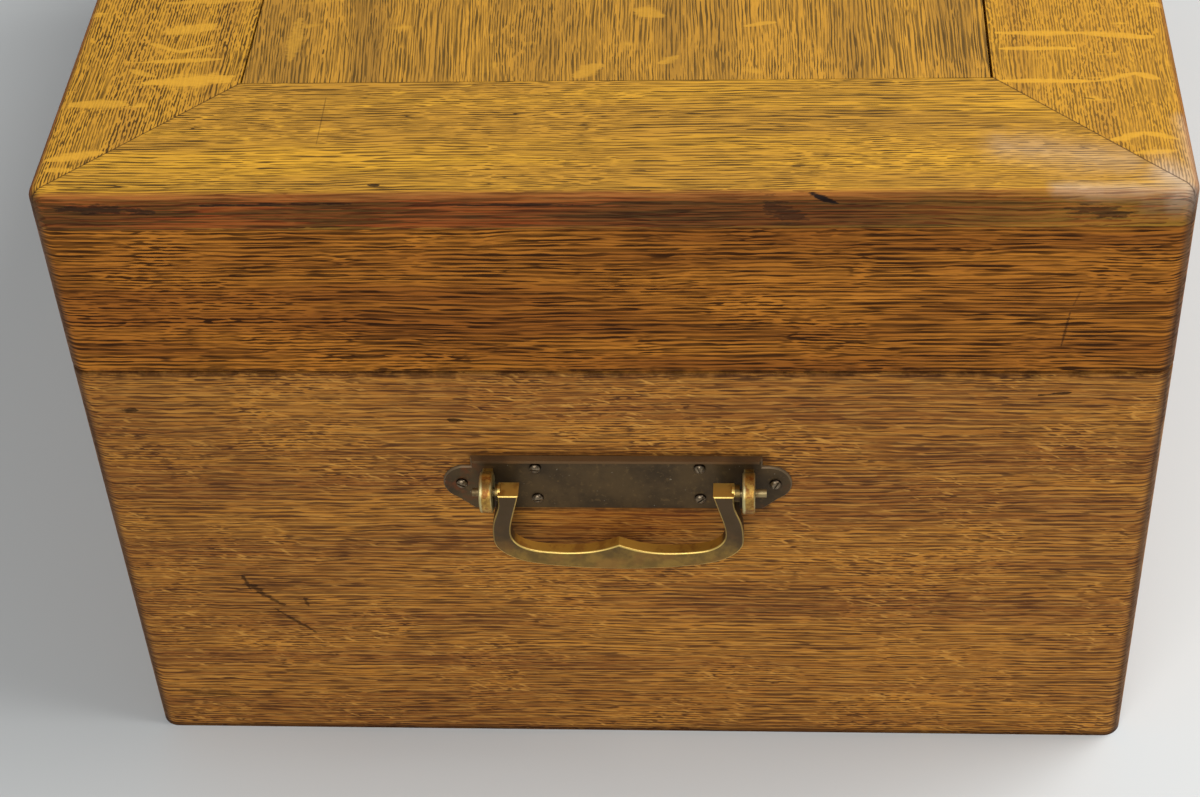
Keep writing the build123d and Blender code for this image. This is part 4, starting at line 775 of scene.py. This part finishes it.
def padded_board(name, made, body, node):
    """The cloth-covered board in the lid, padded on its lower face.

    That face rises by 0.0014 exp(-d / 0.003) at d from the border, and by 0.000125 (1 + sin(23x) sin(31y))
    further in, where the wadding is thinner.
    """
    low, high = (corner[2] for corner in corners(node))
    half_x, half_y = INSIDE_LENGTH - 0.0001, INSIDE_WIDTH - 0.0001
    border = np.array([0.0, 0.0004, 0.001, 0.002, 0.0035, 0.0055, 0.0085])
    lines = []
    for half in (half_x, half_y):
        inner = np.linspace(-half + 0.012, half - 0.012, round(half / 0.0035))
        lines.append(np.concatenate([-half + border, inner, (half - border)[::-1]]))
    x, y = np.meshgrid(*lines)
    inset = np.minimum(half_x - abs(x), half_y - abs(y))
    thin = 0.000125 * (1 + np.sin(23 * x) * np.sin(31 * y)) * np.clip(inset / 0.02, 0, 1)
    z = low + 0.0014 * np.exp(-inset / 0.003) + thin
    under = np.stack([x, y, z], axis=-1).reshape(-1, 3)
    top = np.stack([x, y, np.full(x.shape, high - 0.00005)], axis=-1).reshape(-1, 3)
    rows, columns = x.shape
    faces = grid_faces(rows, columns)
    numbers = np.arange(rows * columns).reshape(rows, columns)
    ring = np.concatenate([numbers[0, :-1], numbers[:-1, -1], numbers[-1, :0:-1], numbers[:0:-1, 0]])
    after = np.roll(ring, -1)
    size = rows * columns
    sides = np.stack([ring, after, after + size, ring + size], axis=1)
    faces = np.concatenate([faces[:, ::-1], faces + size, sides])
    piece = new_piece(name, np.concatenate([under, top]), faces, made, body, node)


class ChestSettings(bpy.types.PropertyGroup):
    """Sizes and amounts that the finishes use, and the floor's colour."""

    pitch: bpy.props.FloatProperty(
        name="Pore pitch", description="Mean space between rows of pores",
        default=0.0018, min=0.0003, max=0.01, unit="LENGTH")
    pore_length: bpy.props.FloatProperty(
        name="Pore length", description="Length of a pore's streak on the lid",
        default=0.014, min=0.002, max=0.05, unit="LENGTH")
    pore_depth: bpy.props.FloatProperty(
        name="Pore depth", description="Strength of the pores' relief",
        default=0.35, min=0.0, max=1.0, subtype="FACTOR")
    floor_color: bpy.props.FloatVectorProperty(
        name="Floor", description="Colour of the floor",
        default=(0.62, 0.635, 0.63), size=3, min=0, max=1, subtype="COLOR")


class CHEST_OT_oak_sides(bpy.types.Operator):
    """Paint the case's and the lid's boards"""

    bl_idname = "chest.oak_sides"
    bl_label = "Oak sides"

    def execute(self, context):
        p = context.scene.chest
        case = dict(ground="ca8836", deep="9c622a", pore="482a1a", ray="d29848", pitch=p.pitch,
                    length=0.75 * p.pore_length, amount=0.62, rays=0.55, ray_size=(0.006, 0.0016),
                    slope=0.33, edge=0.9, contrast=0.88, pale=0.42, blur=0.09, gloss=0.06)
        lid = dict(ground="c87f2b", deep="98591e", pore="200c03", ray="c07a28", pitch=p.pitch,
                   length=p.pore_length, amount=0.64, blur=0.10, rays=0.2, ray_size=(0.010, 0.0022),
                   slope=0.3, edge=0.9, contrast=0.92, gloss=0.06)
        paint(oak("Case end oak", p, "yzx", 1.0, marks=END_MARKS, shade_and_grime=True, **case), "case_right_end",
              "case_left_end")
        paint(oak("Lid end oak", p, "yzx", 2.0, marks=LID_MARKS + EDGE_MARKS[:3], **lid),
              "lid_right_band", "lid_left_band")
        paint(oak("Case long oak", p, "xzy", 3.0, **case), "case_front", "case_back")
        paint(oak("Lid long oak", p, "xzy", 4.0, **lid), "lid_front_band", "lid_back_band")
        return {"FINISHED"}


class CHEST_OT_oak_top(bpy.types.Operator):
    """Paint the lid's frame and panel"""

    bl_idname = "chest.oak_top"
    bl_label = "Oak top"

    def execute(self, context):
        p = context.scene.chest
        frame_tones = dict(deep="b07c2c", pore="38260e", ray="d8a032", contrast=0.9, gloss=0.15, edge=0.9,
                           lean=-0.6, mirror=True, pitch=0.8 * p.pitch)
        end_tones = {**frame_tones, "deep": "ba862e"}
        paint(oak("Frame end oak", p, "yxz", 5.0, ground="d49c2e", length=p.pore_length, amount=0.42,
                  blur=0.05, rays=0.4, ray_size=(0.009, 0.0024), marks=EDGE_MARKS + SCRATCHES,
                  sheen=PAINTED_CORNER_SHEEN, calm=0.15, **end_tones),
              "top_frame_right", "top_frame_left")
        paint(oak("Frame long oak", p, "xyz", 6.0, ground="ca922c", length=0.5 * p.pore_length, amount=0.5,
                  rays=0.35, ray_size=(0.004, 0.025), short=0.62, flecks=FLECKS[:FRAME_BANDS],
                  marks=SCRATCHES[1:2], sheen=PAINTED_CORNER_SHEEN[:3], calm=0.22, **frame_tones),
              "top_frame_front", "top_frame_back")
        paint(oak("Panel oak", p, "xyz", 7.0, ground="c68e2e", deep="a2742a", pore="42300f", ray="cc9630",
                  pitch=0.8 * p.pitch, length=1.1 * p.pore_length, amount=0.42, blur=0.05, rays=0.4,
                  ray_size=(0.010, 0.020), slant=0.08, flecks=FLECKS[FRAME_BANDS:], lines=False),
              "top_panel")
        return {"FINISHED"}


class CHEST_OT_inner_wood(bpy.types.Operator):
    """Paint the bottom, the cleats and the tray"""

    bl_idname = "chest.inner_wood"
    bl_label = "Inner wood"

    def execute(self, context):
        p = context.scene.chest
        tones = dict(ground="a8713a", deep="875427", pore="3c2410", ray="b98548", pitch=p.pitch,
                     length=p.pore_length, amount=0.4, rays=0.2, ray_size=(0.012, 0.006), lines=False)
        paint(oak("Bottom wood", p, "xyz", 8.0, **tones), "case_bottom", "tray_bottom")
        paint(oak("Inner long wood", p, "xzy", 9.0, **tones), "tray_front", "tray_back", "tray_long_dividers",
              "tray_short_dividers")
        paint(oak("Inner cross wood", p, "yzx", 10.0, **tones), "tray_left_end", "tray_right_end",
              "tray_cross_divider", "left_tray_cleat", "right_tray_cleat")
        return {"FINISHED"}


class CHEST_OT_linings(bpy.types.Operator):
    """Lay the baize in the case, the lid and the tray"""

    bl_idname = "chest.linings"
    bl_label = "Linings"

    def execute(self, context):
        made, t = material("Baize")
        position = t.position()
        nap = t.noise(position, 1700, 3, 0.7)
        tuft = t.noise(position, 420, 3, 0.6)
        cloud = t.noise(position, 22, 3)
        dust = t.ramp(t.noise(position, 900, 2, 0.8), 0.68, 0.78)
        color = t.mix(t.ramp(nap, 0.3, 0.7), "1a4229", "2e6742")
        color = t.mix(t.math("MULTIPLY", t.ramp(tuft, 0.4, 0.7), 0.35), color, "17391f")
        color = t.mix(t.math("MULTIPLY", t.ramp(cloud, 0.4, 0.7), 0.35), color, "4a6f4a")
        color = t.mix(t.math("MULTIPLY", dust, 0.25), color, "8d9478")
        height = t.math("MULTIPLY_ADD", tuft, 0.6, nap)
        t.surface(color, 0.92, t.bump(height, 0.6, 0.0006), Sheen_Weight=0.35, Specular_IOR_Level=0.15)
        laid_cloth("case_floor_baize", made, "case", "case_floor_lining")
        laid_cloth("tray_baize", made, "tray", "tray_lining")
        lock_low, lock_high = corners("lock_case")
        window = (round(lock_high[0] + LOCK_CLEARANCE, 5), round(lock_low[2] - LOCK_CLEARANCE, 5))
        wall_cloth("case_wall_baize", window, made, "case", "case_side_lining")
        wall_cloth("lid_wall_baize", None, made, "lid", "lid_side_lining")
        padded_board("lid_padded_board", made, "lid", "lid_lining_board")
        return {"FINISHED"}


class CHEST_OT_handles(bpy.types.Operator):
    """Paint the two carrying handles"""

    bl_idname = "chest.handles"
    bl_label = "Handles"

    def execute(self, context):
        both = ("left", "right")
        paint(plate_brass(), *[f"{s}_handle_plate" for s in both])
        paint(ear_brass(), *[f"{s}_handle_{e}_ear" for s in both for e in ("front", "rear")])
        paint(bail_brass(), *[f"{s}_handle_bail" for s in both])
        pin_brass = metal("Pin brass", "a08c62", "6a573c", "6a4a2a", 0.4, 0.55)
        paint(pin_brass, *[f"{s}_handle_pins" for s in both])
        paint(screw_brass(), *[f"{s}_handle_screws" for s in both])
        return {"FINISHED"}


class CHEST_OT_fittings(bpy.types.Operator):
    """Paint the lock, the key, the hinges and the small screws"""

    bl_idname = "chest.fittings"
    bl_label = "Fittings"

    def execute(self, context):
        brass = metal("Hinge brass", "c09a4c", "6e5226", "553015", 0.6, 0.6)
        steel = metal("Fitting steel", "8d8b86", "45423d", "4a3526", 0.7, 0.55)
        paint(brass, "left_hinge_case_leaf", "right_hinge_case_leaf", "left_hinge_lid_leaf",
              "right_hinge_lid_leaf", "lock_case", "lock_cover", "link_plate", "escutcheon",
              "escutcheon_pins", "hinge_case_screws", "hinge_lid_screws", "lock_screws",
              "link_plate_screws")
        paint(steel, "hinge_pins", "lock_bolt", "key", "bottom_screws")
        return {"FINISHED"}


class CHEST_OT_stage(bpy.types.Operator):
    """Set the floor, the lamps and the camera"""

    bl_idname = "chest.stage"
    bl_label = "Stage"

    def execute(self, context):
        scene = context.scene
        p = scene.chest
        mesh = bpy.data.meshes.new("floor")
        half = FLOOR_HALF
        mesh.from_pydata([(-half, -half, 0), (half, -half, 0), (half, half, 0), (-half, half, 0)], [],
                         [(0, 1, 2, 3)])
        floor = bpy.data.objects.new("floor", mesh)
        scene.collection.objects.link(floor)
        made, t = material("Floor")
        t.surface((*p.floor_color, 1), 0.55)
        mesh.materials.append(made)

        world = bpy.data.worlds.new("Room")
        scene.world = world
        world.use_nodes = True
        background = world.node_tree.nodes["Background"]
        background.inputs["Color"].default_value = ROOM_COLOR
        background.inputs["Strength"].default_value = ROOM_STRENGTH
        for name, place, size, power, aim in LAMPS:
            lamp = bpy.data.lights.new(name, "AREA")
            lamp.shape = "RECTANGLE"
            lamp.size, lamp.size_y = size
            lamp.energy = power
            holder = bpy.data.objects.new(name, lamp)
            holder.location = place
            holder.rotation_euler = (Vector(aim) - Vector(place)).to_track_quat("-Z", "Y").to_euler()
            scene.collection.objects.link(holder)

        camera = bpy.data.cameras.new("Camera")
        camera.sensor_width = 36.0
        camera.lens = CAMERA_LENS
        camera.clip_start = 0.01
        yaw, pitch, roll = (math.radians(angle) for angle in CAMERA_ANGLES)
        ahead = Vector((-math.cos(yaw) * math.cos(pitch), math.sin(yaw) * math.cos(pitch), -math.sin(pitch)))
        level = Vector((math.sin(yaw), math.cos(yaw), 0.0))
        up = level.cross(ahead)
        right = level * math.cos(roll) + up * math.sin(roll)
        above = up * math.cos(roll) - level * math.sin(roll)
        turn = Matrix((right, above, -ahead)).transposed()
        holder = bpy.data.objects.new("Camera", camera)
        holder.matrix_world = Matrix.Translation(CAMERA_PLACE) @ turn.to_4x4()
        scene.collection.objects.link(holder)
        scene.camera = holder
        scene.view_settings.view_transform = "Standard"
        return {"FINISHED"}


class CHEST_PT_panel(bpy.types.Panel):
    """The chest's settings and steps"""

    bl_idname = "CHEST_PT_panel"
    bl_label = "Silverware chest"
    bl_space_type = "VIEW_3D"
    bl_region_type = "UI"
    bl_category = "Chest"

    def draw(self, context):
        for name in ChestSettings.__annotations__:
            self.layout.prop(context.scene.chest, name)
        for step in STEPS:
            self.layout.operator(step.bl_idname)


STEPS = (CHEST_OT_oak_sides, CHEST_OT_oak_top, CHEST_OT_inner_wood, CHEST_OT_linings, CHEST_OT_handles,
         CHEST_OT_fittings, CHEST_OT_stage)
CLASSES = (ChestSettings, *STEPS, CHEST_PT_panel)


def register():
    for cls in CLASSES:
        bpy.utils.register_class(cls)
    bpy.types.Scene.chest = bpy.props.PointerProperty(type=ChestSettings)


def unregister():
    del bpy.types.Scene.chest
    for cls in reversed(CLASSES):
        bpy.utils.unregister_class(cls)


def main():
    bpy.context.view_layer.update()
    register()
    for step in STEPS:
        group, name = step.bl_idname.split(".")
        getattr(getattr(bpy.ops, group), name)()


if __name__ == "__main__":
    main()
